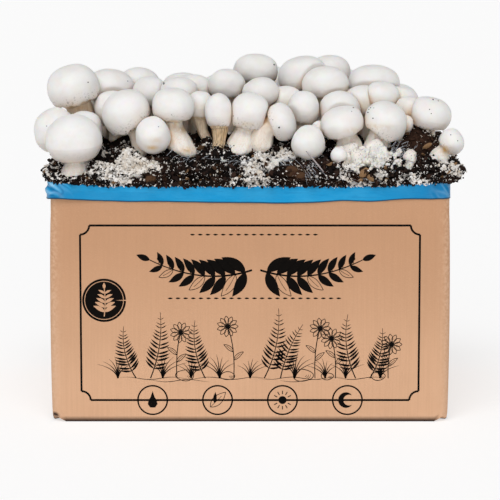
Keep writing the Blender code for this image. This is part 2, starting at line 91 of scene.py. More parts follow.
# The mushrooms, as in the CAD model. A cap is centred at (x, y, z), its axis leans by lean_x and lean_y for
# each unit that it rises, and the stem runs down to the foot.
Mushroom = namedtuple("Mushroom", "x y z width height lean_x lean_y foot_x foot_y stem foot")
MUSHROOMS = (
    Mushroom(-172, -128, 277, 54, 45, -0.06, -0.12, -174, -134, 21, 27),
    Mushroom(-94, -128, 281, 35, 35, -0.10, -0.90, -86, -110, 14, 16),
    Mushroom(57, -128, 274, 33, 33, 0.05, -0.60, 60, -117, 15, 16),
    Mushroom(198, -116, 274, 27, 23, 0.95, -0.05, 182, -121, 14, 20),
    Mushroom(-76, -112, 310, 42, 31, 0.03, -0.15, -61, -121, 18, 28),
    Mushroom(-31, -110, 303, 28, 34, -0.08, -0.05, -32, -117, 16, 12),
    Mushroom(0, -108, 303, 38, 34, 0.22, -0.10, -13, -120, 19, 28),
    Mushroom(31, -110, 294, 38, 25, 2.50, -0.30, 9, -117, 20, 24),
    Mushroom(91, -116, 294, 43, 28, -0.30, -0.20, 98, -121, 18, 25),
    Mushroom(134, -114, 296, 44, 31, 0.38, -0.20, 121, -121, 23, 27),
    Mushroom(153, -104, 291, 17, 16, 0.45, 0.00, 142, -116, 6, 8),
    Mushroom(68, -106, 285, 17, 17, 0.10, 0.00, 70, -103, 9, 10),
    Mushroom(-122, -106, 303, 50, 40, -0.50, -0.20, -107, -117, 16, 16),
    Mushroom(-191, -98, 282, 44, 42, -0.40, -0.10, -180, -92, 18, 20),
    Mushroom(-164, -100, 283, 38, 36, 0.10, 0.05, -163, -94, 16, 18),
    Mushroom(177, -92, 299, 43, 32, 0.22, -0.10, 172, -84, 18, 20),
    Mushroom(-49, -90, 308, 26, 27, 0.05, -0.05, -39, -98, 15, 11),
    Mushroom(53, -90, 304, 32, 32, 0.08, -0.15, 50, -88, 14, 15),
    Mushroom(89, -84, 303, 43, 32, 0.00, -0.10, 90, -80, 17, 18),
    Mushroom(-137, -78, 303, 36, 34, -0.25, -0.05, -134, -76, 15, 16),
    Mushroom(-176, -74, 325, 51, 37, -0.30, -0.10, -160, -68, 25, 26),
    Mushroom(131, -72, 314, 36, 29, 0.15, -0.10, 130, -68, 14, 15),
    Mushroom(10, -72, 318, 39, 28, -0.25, -0.15, 16, -70, 15, 16),
    Mushroom(113, -68, 309, 40, 30, -0.05, -0.10, 113, -62, 14, 15),
    Mushroom(-71, -70, 319, 40, 28, -0.08, -0.05, -70, -66, 15, 16),
    Mushroom(36, -64, 308, 37, 31, -0.05, 0.00, 36, -60, 14, 15),
    Mushroom(-100, -60, 316, 39, 31, 0.00, -0.05, -99, -58, 14, 15),
    Mushroom(-23, -60, 325, 36, 28, 0.05, -0.08, -22, -54, 15, 16),
    Mushroom(75, -56, 326, 46, 31, -0.08, -0.10, 75, -50, 18, 19),
    Mushroom(152, -54, 307, 34, 29, 0.15, -0.05, 150, -46, 14, 15),
    Mushroom(-56, -46, 319, 36, 29, 0.05, 0.00, -55, -42, 14, 15),
    Mushroom(87, -135, 263, 16, 15, -0.20, -0.20, 84, -134, 8, 8),
    Mushroom(-142, -44, 320, 52, 34, 0.05, -0.05, -138, -38, 18, 19),
    Mushroom(52, -30, 333, 50, 33, -0.25, -0.10, 47, -26, 20, 21),
    Mushroom(157, -84, 302, 27, 26, 0.10, 0.00, 156, -80, 12, 13),
    Mushroom(126, -32, 324, 53, 34, 0.06, -0.08, 123, -26, 20, 21),
    Mushroom(-113, -18, 323, 42, 28, 0.05, 0.00, -111, -12, 15, 16),
    Mushroom(6, -12, 336, 44, 30, 0.02, -0.05, 6, -8, 18, 19),
    Mushroom(82, -4, 334, 42, 30, 0.08, -0.03, 80, 2, 16, 17),
    Mushroom(-168, 14, 306, 48, 36, -0.20, 0.00, -160, 16, 18, 20),
    Mushroom(-62, 4, 311, 46, 34, -0.05, 0.05, -60, 8, 18, 19),
    Mushroom(-116, 32, 304, 50, 36, 0.00, 0.08, -114, 34, 19, 21),
    Mushroom(-14, 40, 310, 50, 36, -0.05, 0.10, -14, 40, 20, 21),
    Mushroom(50, 46, 314, 46, 34, 0.05, 0.08, 50, 48, 18, 19),
    Mushroom(150, 22, 301, 48, 34, 0.15, 0.05, 146, 24, 18, 20),
    Mushroom(98, 44, 312, 48, 36, 0.00, 0.10, 96, 44, 19, 21),
    Mushroom(-162, 66, 300, 50, 36, -0.15, 0.05, -154, 66, 19, 21),
    Mushroom(-70, 62, 308, 44, 34, 0.05, 0.10, -68, 60, 17, 19),
    Mushroom(-114, 84, 302, 46, 34, -0.05, 0.15, -112, 80, 18, 20),
    Mushroom(18, 78, 312, 50, 36, 0.00, 0.12, 18, 74, 19, 21),
    Mushroom(66, 96, 300, 44, 34, 0.05, 0.20, 64, 90, 17, 19),
    Mushroom(128, 86, 299, 48, 35, 0.12, 0.15, 123, 82, 18, 20),
    Mushroom(-34, 100, 300, 46, 36, -0.05, 0.25, -32, 94, 18, 20),
    Mushroom(-152, 116, 286, 44, 34, -0.15, 0.35, -146, 110, 17, 20),
    Mushroom(-82, 122, 288, 48, 38, 0.00, 0.40, -80, 113, 18, 21),
    Mushroom(22, 124, 288, 50, 38, 0.05, 0.40, 22, 115, 19, 22),
    Mushroom(98, 126, 286, 42, 34, 0.10, 0.35, 95, 118, 16, 19),
)
FOOT_DEPTH = 7
UNDERSIDE = -0.40

# Colours, as linear red, green, blue
KRAFT = (0.575, 0.315, 0.177)
KRAFT_PAINTED_BOUNCE = (0.71, 0.425, 0.26)
KRAFT_LIGHT = (0.74, 0.475, 0.31)
KRAFT_DARK = (0.46, 0.255, 0.143)
LOWER_EDGE_SHADOW = (0.04, 0.018, 0.01)
INK = (0.003, 0.002, 0.0015)
FILM_BLUE = (0.002, 0.31, 0.645)
FILM_HEM_SHADOW = (0.004, 0.03, 0.05)
FILM_PLEAT_HIGHLIGHT = (0.45, 0.74, 0.93)
FILM_DEEP = (0.001, 0.20, 0.46)
FILM_PALE = (0.04, 0.40, 0.73)
SOIL_BLACK = (0.0025, 0.002, 0.002)
SOIL_BROWN = (0.040, 0.020, 0.014)
RED_BROWN = (0.085, 0.038, 0.022)
WOOD_DARK = (0.05, 0.024, 0.012)
WOOD_PALE = (0.34, 0.20, 0.10)
BEIGE = (0.66, 0.56, 0.44)
MYCELIUM = (0.93, 0.92, 0.91)
CAP_WHITE = (0.90, 0.89, 0.875)
CAP_SHADE = (0.64, 0.605, 0.58)
CAP_DULL = (0.84, 0.80, 0.76)
STEM_CREAM = (0.86, 0.81, 0.73)
FLESH_WARM = (0.72, 0.50, 0.32)
DEPTH_SHADE_OCHRE = (0.72, 0.52, 0.31)
CREASE_SHADE_ORANGE = (0.50, 0.27, 0.11)
STEM_DEEP_SHADE = (0.20, 0.12, 0.06)
STAIN_OCHRE = (0.60, 0.38, 0.14)
THREAD_GREY = (0.62, 0.66, 0.72)
STRAW_GREY = (0.50, 0.44, 0.44)


# Noise

CUBE_CORNERS = np.array([(x, y, z) for x in (0, 1) for y in (0, 1) for z in (0, 1)])
HASH_STEPS = np.array([73856093, 19349663, 83492791])
HASH_MIX = 1274126177
HASH_RANGE = 2**32
SEED_STEP = 668265263


def noise(points, size, seed=0):
    """Smooth noise from -1 to 1: a random value at each corner of cubes of that size, blended across the
    cube by the curve 3 t^2 - 2 t^3."""
    scaled = np.asarray(points, float) / size
    base = np.floor(scaled)
    share = scaled - base
    share = share * share * (3 - 2 * share)
    base = base.astype(np.int64)
    total = np.zeros(scaled.shape[:-1])
    for corner in CUBE_CORNERS:
        key = ((base + corner) * HASH_STEPS).sum(axis=-1) + seed * SEED_STEP
        key = (key ^ (key >> 13)) * HASH_MIX % HASH_RANGE
        key = (key ^ (key >> 16)) * HASH_MIX % HASH_RANGE
        total += np.where(corner, share, 1 - share).prod(axis=-1) * (key / HASH_RANGE)
    return total * 2 - 1


def smooth_step(value, low, high):
    """0 up to low and 1 from high on, with the curve 3 t^2 - 2 t^3 between them."""
    share = np.clip((value - low) / (high - low), 0, 1)
    return share * share * (3 - 2 * share)


# Meshes


def unit(vectors):
    """A vector, or an array of them, brought to length 1."""
    return vectors / np.linalg.norm(vectors, axis=-1, keepdims=True)


def bezier(start, bend, end, t):
    """Points start (1-t)^2 + bend 2t(1-t) + end t^2."""
    return start * (1 - t) ** 2 + bend * 2 * t * (1 - t) + end * t**2


def add_object(name, data):
    """Puts a mesh, light or camera in the scene."""
    thing = bpy.data.objects.new(name, data)
    bpy.context.scene.collection.objects.link(thing)
    return thing


def add_mesh(name, points, faces, material, smooth=True, attributes=None):
    """A piece from points in millimetres and a list of arrays of faces, which may have 3 or 4 corners."""
    mesh = bpy.data.meshes.new(name)
    mesh.vertices.add(len(points))
    mesh.vertices.foreach_set("co", (np.asarray(points) * MM).astype(np.float32).ravel())
    corners = np.concatenate([group.ravel() for group in faces])
    sizes = np.concatenate([np.full(len(group), group.shape[1]) for group in faces])
    mesh.loops.add(len(corners))
    mesh.loops.foreach_set("vertex_index", corners.astype(np.int32))
    mesh.polygons.add(len(sizes))
    mesh.polygons.foreach_set("loop_start", (np.cumsum(sizes) - sizes).astype(np.int32))
    mesh.polygons.foreach_set("use_smooth", np.full(len(sizes), smooth))
    for key, values in (attributes or {}).items():
        values = np.asarray(values, np.float32).ravel()
        mesh.attributes.new(key, "FLOAT", "POINT").data.foreach_set("value", values)
    mesh.materials.append(material)
    mesh.update(calc_edges=True)
    piece = add_object(name, mesh)
    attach(piece, "root")
    return piece


def grid_faces(rows, columns, closed):
    """Quads between the neighbouring points of a grid; a closed one joins its last column to its first."""
    row = np.arange(rows - 1)[:, None]
    column = np.arange(columns if closed else columns - 1)[None, :]
    after = (column + 1) % columns
    corners = (
        row * columns + column,
        row * columns + after,
        (row + 1) * columns + after,
        (row + 1) * columns + column,
    )
    return np.stack(corners, axis=-1).reshape(-1, 4)


def add_skin(name, points, material, ends=(True, True), smooth=True, attributes=None):
    """A surface round a grid of rings, from the lowest ring up, each ring anticlockwise seen from above.
    An end that is closed gets a fan to the middle of its ring."""
    rows, columns = points.shape[:2]
    names = list(attributes or {})
    layers = [np.broadcast_to(attributes[key], (rows, columns))[..., None] for key in names]
    table = np.concatenate([points, *layers], axis=-1)
    flat = table.reshape(rows * columns, -1)
    faces = [grid_faces(rows, columns, True)]
    for end, row in enumerate((0, rows - 1)):
        if ends[end]:
            ring = row * columns + np.arange(columns)
            after = np.roll(ring, -1)
            pole = np.full(columns, len(flat))
            flat = np.vstack([flat, table[row].mean(axis=0)])
            faces.append(np.stack([after, ring, pole] if end == 0 else [ring, after, pole], axis=1))
    values = {key: flat[:, 3 + index] for index, key in enumerate(names)}
    return add_mesh(name, flat[:, :3], faces, material, smooth, values)


def rectangle_ring(half_x, half_y, radius, along_x, along_y, along_corner):
    """Points and outward directions round a rectangle with round corners, anticlockwise from the arc
    between -Y and +X. Each side and arc has the same number of steps whatever the size, so that rings match
    up."""
    points = []
    outward = []
    for turn, (sign_x, sign_y) in enumerate(((1, -1), (1, 1), (-1, 1), (-1, -1))):
        angle = math.pi / 2 * (turn - 1 + np.arange(along_corner) / along_corner)
        around = np.stack([np.cos(angle), np.sin(angle)], axis=-1)
        middle = np.array([sign_x * (half_x - radius), sign_y * (half_y - radius)])
        points.append(middle + radius * around)
        outward.append(around)
        direction = np.array([math.cos(math.pi / 2 * turn), math.sin(math.pi / 2 * turn)])
        ahead = np.array([-direction[1], direction[0]])
        on_x = turn % 2
        length = 2 * ((half_x if on_x else half_y) - radius)
        count = along_x if on_x else along_y
        run = (np.arange(count) / count)[:, None] * length
        points.append(middle + radius * direction + run * ahead)
        outward.append(np.broadcast_to(direction, (count, 2)))
    return np.concatenate(points), np.concatenate(outward)


def add_bodies(name, shape, faces, places, matrices, material, smooth=False, attributes=None):
    """Many copies of a small shape as one piece: copy n is matrices[n] @ shape[n] + places[n]."""
    count = len(places)
    corners = shape.shape[-2]
    points = np.einsum("nij,nvj->nvi", matrices, np.broadcast_to(shape, (count, corners, 3)))
    points = points + places[:, None, :]
    joined = faces[None, :, :] + (np.arange(count) * corners)[:, None, None]
    values = {key: np.repeat(value, corners) for key, value in (attributes or {}).items()}
    return add_mesh(
        name, points.reshape(-1, 3), [joined.reshape(-1, faces.shape[1])], material, smooth, values
    )


def random_turns(rng, count):
    """Rotation matrices of random directions, from random unit quaternions."""
    w, x, y, z = rng.normal(size=(count, 4)).T
    length = np.sqrt(w * w + x * x + y * y + z * z)
    w, x, y, z = w / length, x / length, y / length, z / length
    rows = [
        [1 - 2 * (y * y + z * z), 2 * (x * y - w * z), 2 * (x * z + w * y)],
        [2 * (x * y + w * z), 1 - 2 * (x * x + z * z), 2 * (y * z - w * x)],
        [2 * (x * z - w * y), 2 * (y * z + w * x), 1 - 2 * (x * x + y * y)],
    ]
    return np.moveaxis(np.array(rows), -1, 0)


# Materials


class Value:
    """The output of a shader node. Python's operators on it add Math nodes."""

    def __init__(self, finish, socket):
        self.finish = finish
        self.socket = socket

    def math(self, operation, *values):
        """The output of a Math node with these values."""
        sockets = dict(enumerate(values))
        return self.finish.node("ShaderNodeMath", {"operation": operation}, sockets)

    def __add__(self, other):
        return self.math("ADD", self, other)

    def __sub__(self, other):
        return self.math("SUBTRACT", self, other)

    def __rsub__(self, other):
        return self.math("SUBTRACT", other, self)

    def __mul__(self, other):
        return self.math("MULTIPLY", self, other)

    def __pow__(self, other):
        return self.math("POWER", self, other)

    __radd__ = __add__
    __rmul__ = __mul__


class Finish:
    """A material whose nodes are added one by one."""

    def __init__(self, name, roughness, specular=0.5):
        self.material = bpy.data.materials.new(name)
        self.material.use_nodes = True
        self.tree = self.material.node_tree
        self.shader = self.tree.nodes["Principled BSDF"]
        self.shader.inputs["Roughness"].default_value = roughness
        self.shader.inputs["Specular IOR Level"].default_value = specular

    def fill(self, socket, value):
        """Links a socket to a value, or sets it to a number, a vector or a colour."""
        if isinstance(value, Value):
            self.tree.links.new(value.socket, socket)
        elif isinstance(value, tuple) and len(value) == 3 and socket.type == "RGBA":
            socket.default_value = (*value, 1)
        else:
            socket.default_value = value

    def node(self, kind, settings=None, sockets=None, output=0):
        """Adds a node, sets its settings and then its sockets, and returns one of its outputs."""
        node = self.tree.nodes.new(kind)
        for key, value in (settings or {}).items():
            setattr(node, key, value)
        for key, value in (sockets or {}).items():
            self.fill(node.inputs[key], value)
        return Value(self, node.outputs[output])

    def place(self):
        """Where on the object a point is, in metres."""
        return self.node("ShaderNodeTexCoord", output="Object")

    def height(self):
        """How high above the floor a point is, in metres."""
        return self.node("ShaderNodeSeparateXYZ", sockets={0: self.place()}, output=2)

    def attribute(self, name):
        """The value that the mesh carries at a point."""
        return self.node("ShaderNodeAttribute", {"attribute_name": name}, output="Fac")

    def noise(self, size, detail=3, stretch=(1, 1, 1)):
        """Noise whose cells are about that many millimetres across, drawn out by stretch."""
        scale = tuple(1 / (size * MM * part) for part in stretch)
        place = self.node("ShaderNodeMapping", sockets={"Vector": self.place(), "Scale": scale})
        return self.node("ShaderNodeTexNoise", sockets={"Vector": place, "Scale": 1.0, "Detail": detail})

    def step(self, value, low, high):
        """0 up to low and 1 from high on, with a smooth rise between them."""
        sockets = {"Value": value, "From Min": low, "From Max": high}
        return self.node("ShaderNodeMapRange", {"interpolation_type": "SMOOTHSTEP"}, sockets)

    def mix(self, share, first, second):
        """The first colour with that share of the second."""
        return self.node("ShaderNodeMix", {"data_type": "RGBA"}, {0: share, 6: first, 7: second}, 2)

    def layers(self, colour, *coats):
        """A colour under coats, each of them a share and a shade."""
        for share, shade in coats:
            colour = self.mix(share, colour, shade)
        return colour

    def bump(self, height, distance, strength=1.0, below=None):
        """Relief of that many millimetres, on top of the relief below it."""
        sockets = {"Height": height, "Distance": distance * MM, "Strength": strength}
        if below:
            sockets["Normal"] = below
        return self.node("ShaderNodeBump", sockets=sockets)

    def finish(self, **sockets):
        """Links what varies, and sets what doesn't; a socket's name is written with underscores."""
        for key, value in sockets.items():
            self.fill(self.shader.inputs[key.replace("_", " ")], value)
        return self.material


def kraft_board():
    """Brown paper: lighter towards the floor as painted bounce light, fibres, a fine grain, faint flutes
    under the face, paler worn edges and a painted shadow along the lower edge.
    """
    paper = Finish("kraft_board", 0.82, 0.25)
    cloud = paper.noise(60, 4)
    fibre = paper.noise(1.6, 3, (1, 1, 0.22))
    grain = paper.noise(0.7, 2)
    flute = paper.noise(1.7, 2, (1, 1, 60))
    colour = paper.layers(
        KRAFT,
        # painted bounce light from the floor: the wall is lighter towards its foot
        (paper.step(paper.height(), 0.20, 0.01), KRAFT_PAINTED_BOUNCE),
        (paper.step(cloud, 0.4, 0.7) * 0.15, KRAFT_DARK),
        (paper.step(flute, 0.35, 0.7) * 0.12, KRAFT_DARK),
        (paper.step(fibre, 0.5, 0.8) * 0.30, KRAFT_LIGHT),
        (paper.step(grain, 0.55, 0.8) * 0.25, KRAFT_DARK),
        (paper.attribute("wear") * paper.step(paper.noise(3, 4), 0.3, 0.7), KRAFT_LIGHT),
        # painted shadow along the lower edge, where the carton meets the floor
        (paper.attribute("foot"), LOWER_EDGE_SHADOW),
    )
    relief = paper.bump(grain + fibre * 0.6, 0.12, 0.5, paper.bump(flute, 0.25, 0.35))
    return paper.finish(Base_Color=colour, Normal=relief)


def printing_ink():
    """Flat near-black ink that lets a little of the paper's grain through."""
    ink = Finish("printing_ink", 0.8, 0.08)
    worn = ink.step(ink.noise(0.8, 3), 0.66, 0.8)
    return ink.finish(Base_Color=ink.mix(worn * 0.12, INK, KRAFT_DARK))


def blue_film():
    """Thin glossy blue film, darker towards its ends, with painted shade in its pleat valleys, painted
    highlights on its pleats and a painted shadow along its lower edge.
    """
    film = Finish("blue_film", 0.3, 0.2)
    cloud = film.noise(30, 3, (1, 1, 0.5))
    streak = film.noise(9, 3, (2.5, 1, 0.25))
    colour = film.layers(
        FILM_BLUE,
        (film.step(cloud, 0.35, 0.7) * 0.5, FILM_PALE),
        # darker towards the ends, with painted shade in the valleys between the pleats
        (film.attribute("deep"), FILM_DEEP),
        (film.step(streak, 0.5, 0.8) * 0.35, FILM_DEEP),
        # painted highlights on the pleats and the bunched folds
        (film.attribute("painted_crease") * 0.75, FILM_PLEAT_HIGHLIGHT),
        # painted shadow under the film's lower edge
        (film.attribute("edge") * 0.85, FILM_HEM_SHADOW),
    )
    relief = film.bump(film.noise(5, 3, (1, 1, 2.5)), 0.5, 0.35, film.bump(streak, 1.5, 0.5))
    return film.finish(Base_Color=colour, Normal=relief, Roughness=0.22 + cloud * 0.2)


def compost():
    """Black and brown crumbs, with white mycelium where the attribute says and the fine noise lets it."""
    soil = Finish("compost", 0.95, 0.15)
    grain = soil.noise(3.2, 4)
    fine = soil.noise(1.2, 3)
    white = soil.step(grain + soil.attribute("mycelium") * 0.42, 0.83, 0.90)
    colour = soil.layers(
        SOIL_BLACK,
        (soil.step(soil.noise(7, 3), 0.45, 0.7), SOIL_BROWN),
        (soil.attribute("red"), RED_BROWN),
        (white, soil.mix(soil.step(fine, 0.35, 0.6), BEIGE, MYCELIUM)),
        (soil.step(fine, 0.5, 0.35) * 0.8, SOIL_BLACK),
    )
    relief = soil.bump(grain + fine * 0.5, 1.8, 0.9)
    return soil.finish(Base_Color=colour, Normal=relief)


def crumb(name, dark, pale, red):
    """Small lumps whose shade runs from dark to pale, and to red, by their own attributes."""
    lump = Finish(name, 0.95, 0.15)
    colour = lump.layers(
        dark,
        (lump.attribute("shade"), pale),
        (lump.attribute("red"), red),
        (lump.step(lump.noise(0.9, 2), 0.55, 0.7) * 0.5, dark),
    )
    return lump.finish(Base_Color=colour, Normal=lump.bump(lump.noise(0.8, 3), 0.3, 0.8))


def mushroom_flesh():
    """Silky white cap with painted shade where it faces down, cream fibrous stem, painted warm shade where
    mushrooms touch and under the margin, painted ochre shade in the depth of the stand, painted orange shade
    in the tightest creases, ochre stains and specks of soil."""
    flesh = Finish("mushroom_flesh", 0.55, 0.35)
    stem = flesh.attribute("stem")
    deep = flesh.attribute("deep")
    cloud = flesh.noise(14, 5)
    fibre = flesh.noise(0.9, 3, (1, 1, 9))
    fine = flesh.noise(3, 4)
    painted_crease = flesh.attribute("painted_crease") * flesh.step(flesh.noise(12, 3), 0.35, 0.65)
    colour = flesh.layers(
        CAP_WHITE,
        (flesh.step(cloud, 0.4, 0.7) * 0.5, CAP_DULL),
        (flesh.step(fine, 0.5, 0.75) * 0.25, CAP_DULL),
        # painted shade on the cap where it faces down
        (flesh.attribute("low") * 0.85, CAP_SHADE),
        (stem, flesh.mix(cloud, STEM_CREAM, CAP_WHITE)),
        (stem * flesh.step(fibre, 0.45, 0.75) * 0.45, FLESH_WARM),
        # painted warm shade where mushrooms touch and under the margin
        (flesh.attribute("painted_warm_shade") * (0.55 + cloud * 0.9), FLESH_WARM),
        # painted ochre shade deep in the stand, and a painted dark shade on the deepest stems
        (deep * (0.5 + cloud * 0.8), DEPTH_SHADE_OCHRE),
        (deep * deep * stem * flesh.step(fibre, 0.38, 0.62) * 0.6, STEM_DEEP_SHADE),
        # painted orange shade in the tightest creases between caps
        (painted_crease * 0.7, CREASE_SHADE_ORANGE),
        (flesh.attribute("stain") * flesh.step(flesh.noise(4, 4), 0.25, 0.55), STAIN_OCHRE),
        (flesh.attribute("dirt") * flesh.step(flesh.noise(2.0, 5), 0.57, 0.66), SOIL_BROWN),
    )
    relief = flesh.bump(flesh.noise(2.2, 4), 0.3, 0.4)
    relief = flesh.bump(fibre * stem, 0.5, 0.6, relief)
    return flesh.finish(
        Base_Color=colour,
        Normal=relief,
        Subsurface_Weight=0.3,
        Subsurface_Radius=(1.0, 0.55, 0.3),
        Subsurface_Scale=5 * MM,
    )


def plain_floor():
    """Pale and softly glowing, so that the floor comes out near white."""
    floor = Finish("floor", 0.9, 0.0)
    return floor.finish(Base_Color=(0.5, 0.5, 0.5), Emission_Color=(1, 1, 1), Emission_Strength=0.58)


# The carton


def swell(z):
    """How far the wall stands out: nothing at the foot and under the cuff."""
    share = np.clip(np.asarray(z, float) / BULGE_TOP, 0, 1)
    return BULGE * np.sin(math.pi * share) ** 0.6


# The flaps under the carton: how far in from its edges, half the seam between them, and their two faces
FLAP_INSET = 13
FLAP_SEAM = 0.6
FLAP_LEVELS = (0.05, 1.2)

# The board's surface: steps along X, along Y and round a corner, and rows up the wall
CARTON_STEPS = (70, 52, 8)
WALL_ROWS = 56
MIDDLE_INSET = 60  # where the underside and the inner floor are closed
TIGHTEST = 1.5  # the smallest corner radius

# Where a painted dark spot stands for the shade in a nick of the lower edge at the front, left of the middle,
# and how far its crushed corners are lifted
NICK_X = 192
CRUSH = 6.0
CRUSH_REACH = 13


def build_flaps(material):
    """The two long flaps that close the underside, as flat boards that meet along the middle line."""
    half_x = CARTON_WIDTH / 2 - FLAP_INSET
    half_y = CARTON_DEPTH / 2 - FLAP_INSET
    box = np.array([(x, y, z) for z in FLAP_LEVELS for y in (FLAP_SEAM, half_y) for x in (-half_x, half_x)])
    mirrored = box * (1, -1, 1)
    quads = np.array([(0, 2, 3, 1), (4, 5, 7, 6), (0, 1, 5, 4), (2, 6, 7, 3), (0, 4, 6, 2), (1, 3, 7, 5)])
    faces = np.concatenate([quads, quads[:, ::-1] + len(box)])
    bare = np.zeros(2 * len(box))
    points = np.concatenate([box, mirrored])
    add_mesh("carton_flaps", points, [faces], material, False, {"wear": bare, "foot": bare})


def build_carton(material):
    """Rings from the middle of the underside out round the lower edge, up the wall, over the rim and down
    inside to the floor. The corners are worn pale, the lower edge has a painted shadow with a darker painted
    spot at the nick, and its corners are crushed."""
    turn = np.linspace(0, math.pi / 2, 5)
    wall = np.linspace(BASE_EDGE + 4, CARTON_HEIGHT - 2, WALL_ROWS)
    insets = [MIDDLE_INSET, 12]
    heights = [1.0, 1.0]
    insets += list(BASE_EDGE * (1 - np.sin(turn)))
    heights += list(BASE_EDGE * (1 - np.cos(turn)))
    insets += list(-swell(wall))
    heights += list(wall)
    insets += [0.2, 1.0, BOARD - 1.0, BOARD - 0.2, BOARD, BOARD, MIDDLE_INSET]
    heights += [CARTON_HEIGHT - 0.6, CARTON_HEIGHT, CARTON_HEIGHT, CARTON_HEIGHT - 0.6, 200, BOARD, BOARD]
    rings = []
    for inset, height in zip(insets, heights):
        radius = max(CORNER_RADIUS - inset, TIGHTEST)
        plan, _ = rectangle_ring(CARTON_WIDTH / 2 - inset, CARTON_DEPTH / 2 - inset, radius, *CARTON_STEPS)
        rings.append(np.column_stack([plan, np.full(len(plan), height)]))
    points = np.stack(rings)
    x, y, z = np.moveaxis(points, -1, 0)
    fold = np.hypot(CARTON_WIDTH / 2 - np.abs(x), CARTON_DEPTH / 2 - np.abs(y))
    wear = 0.9 * np.exp(-((fold / 6) ** 2)) + 0.6 * np.exp(-(((z - 3) / 3) ** 2))
    corner = 1 - np.clip(fold / CRUSH_REACH, 0, 1)
    # foot: a painted shadow along the lowest millimetres of the wall, and the nick a painted dark spot
    foot = (1 - smooth_step(z, 1.9, 2.5)) * (1 - smooth_step(corner, 0.1, 0.4))
    nick = np.exp(-(((x + NICK_X) / 3) ** 2) - ((z - 1.5) / 1.5) ** 2) * (y < 0)
    attributes = {"wear": wear, "foot": np.maximum(foot, np.minimum(nick * 1.5, 1))}
    points[..., 2] += CRUSH * smooth_step(corner, 0, 0.8) * (1 - smooth_step(z, 2, 14))
    shell = add_skin("carton_shell", points, material, attributes=attributes)
    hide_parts("carton")


# The print on the front

# The print is drawn in millimetres on the front: x to the right, z up. A figure is a list of strips, and a
# strip is an array of (right edge, left edge) points along its path.
LINE = 0.9
FRAME_LINE = 2.0
INK_LIFT = 0.06

# The frame's sides, and how deep its corners are notched
FRAME_SIDES = (-166, 166, 22, 196)
NOTCH = 9

# The garland and the dotted rules: their middle, the garland's height and reach to each side, the height and
# half length of each rule, and how far apart, how long and how thick its dots are
MIDDLE = 6
GARLAND_LOW = 152
GARLAND_REACH = 104
RULES = ((187, 62), (124, 84))
DOT_STEP = 7.5
DOT_HALF = 2.4
DOT_WIDTH = 1.7

# Places of the medallions along the frame's lower side, and the badge
MEDALLIONS = (-96, -32, 32, 96)
MEDALLION_RADIUS = 14.5
BADGE = (-143, 122)
BADGE_RADIUS = 21.5

# The meadow: its height, and from where to where each line of its ground runs
GROUND = 44
GROUND_LINES = ((-128, -60), (-66, 20), (8, 92), (84, 132), (-100, -40), (30, 70))
Fern = namedtuple("Fern", "x height bow lean")
FERNS = (
    Fern(-112, 52, 0.18, -12),
    Fern(-98, 66, -0.12, 10),
    Fern(-44, 58, 0.16, -10),
    Fern(14, 70, -0.14, 14),
    Fern(30, 54, 0.1, 22),
    Fern(104, 64, 0.16, -8),
    Fern(118, 50, -0.16, 12),
)
LEAFLET_PAIRS = 13
LEAFLET = 15
# Where each flower and each tuft of grass stands, how high it is and how far it leans
FLOWERS = ((-72, 46, 4), (-16, 52, -6), (64, 50, 5), (84, 40, -4), (136, 34, 3))
TUFTS = (
    ((-130, 22, -2), (-86, 24, 3), (-58, 20, 1), (-30, 24, -2), (0, 20, 2))
    + ((44, 26, 2), (74, 20, -2), (94, 22, 1), (128, 20, 2))
)
BLADES = 7
PETALS = 11
PETAL = 10.5
# The middle and the half sizes of each pebble
PEBBLES = ((-64, 47, 9, 5.5), (-22, 46.5, 7, 4), (52, 47, 10, 6), (76, 46, 6, 3.5), (126, 46, 7, 4))


def curve(start, bend, end, count=14):
    """Points along a bowed line."""
    t = np.linspace(0, 1, count)[:, None]
    start, bend, end = (np.array(point, float) for point in (start, bend, end))
    return bezier(start, bend, end, t)


def bowed(base, tip, bow, count):
    """Points from base to tip, bowed to the left by that share of the way."""
    base, tip = np.array(base, float), np.array(tip, float)
    ahead = tip - base
    left = np.array([-ahead[1], ahead[0]])
    return curve(base, (base + tip) / 2 + left * bow, tip, count)


def directions(path, at):
    """The unit vectors along a path at one of its points, and to its left."""
    along = unit(path[min(at + 1, len(path) - 1)] - path[at - 1])
    return along, np.array([-along[1], along[0]])


def strip(path, width=LINE):
    """A path given a width, one number or one for each point."""
    path = np.asarray(path, float)
    ahead = np.gradient(path, axis=0)
    ahead /= np.maximum(np.linalg.norm(ahead, axis=1), 1e-9)[:, None]
    left = np.column_stack([-ahead[:, 1], ahead[:, 0]]) * np.broadcast_to(width, len(path))[:, None] / 2
    return np.stack([path - left, path + left], axis=1)


def arc(centre, radius, start=0.0, end=360.0, count=48):
    """Points round a circle, with the angles in degrees."""
    angle = np.radians(np.linspace(start, end, count))
    return np.array(centre, float) + radius * np.column_stack([np.cos(angle), np.sin(angle)])


def disc(centre, radius):
    """A ring of no inner size: a strip as wide as the radius, along a circle of half the radius."""
    return strip(arc(centre, radius / 2, 0, 360, 60)[::-1], radius)


def leaf(base, tip, width, filled=True, bow=0.0):
    """A leaf whose width goes by the sine along it; an outlined one is its two edges and its vein."""
    middle = bowed(base, tip, bow, 12)
    t = np.linspace(0, 1, 12)
    swelling = np.sin(math.pi * t**0.85) ** 0.9 * width
    if filled:
        return [strip(middle, np.maximum(swelling, 0.2))]
    side = strip(middle, swelling)
    return [strip(side[:, 0], LINE * 0.7), strip(side[:, 1], LINE * 0.7), strip(middle[:9], LINE * 0.5)]


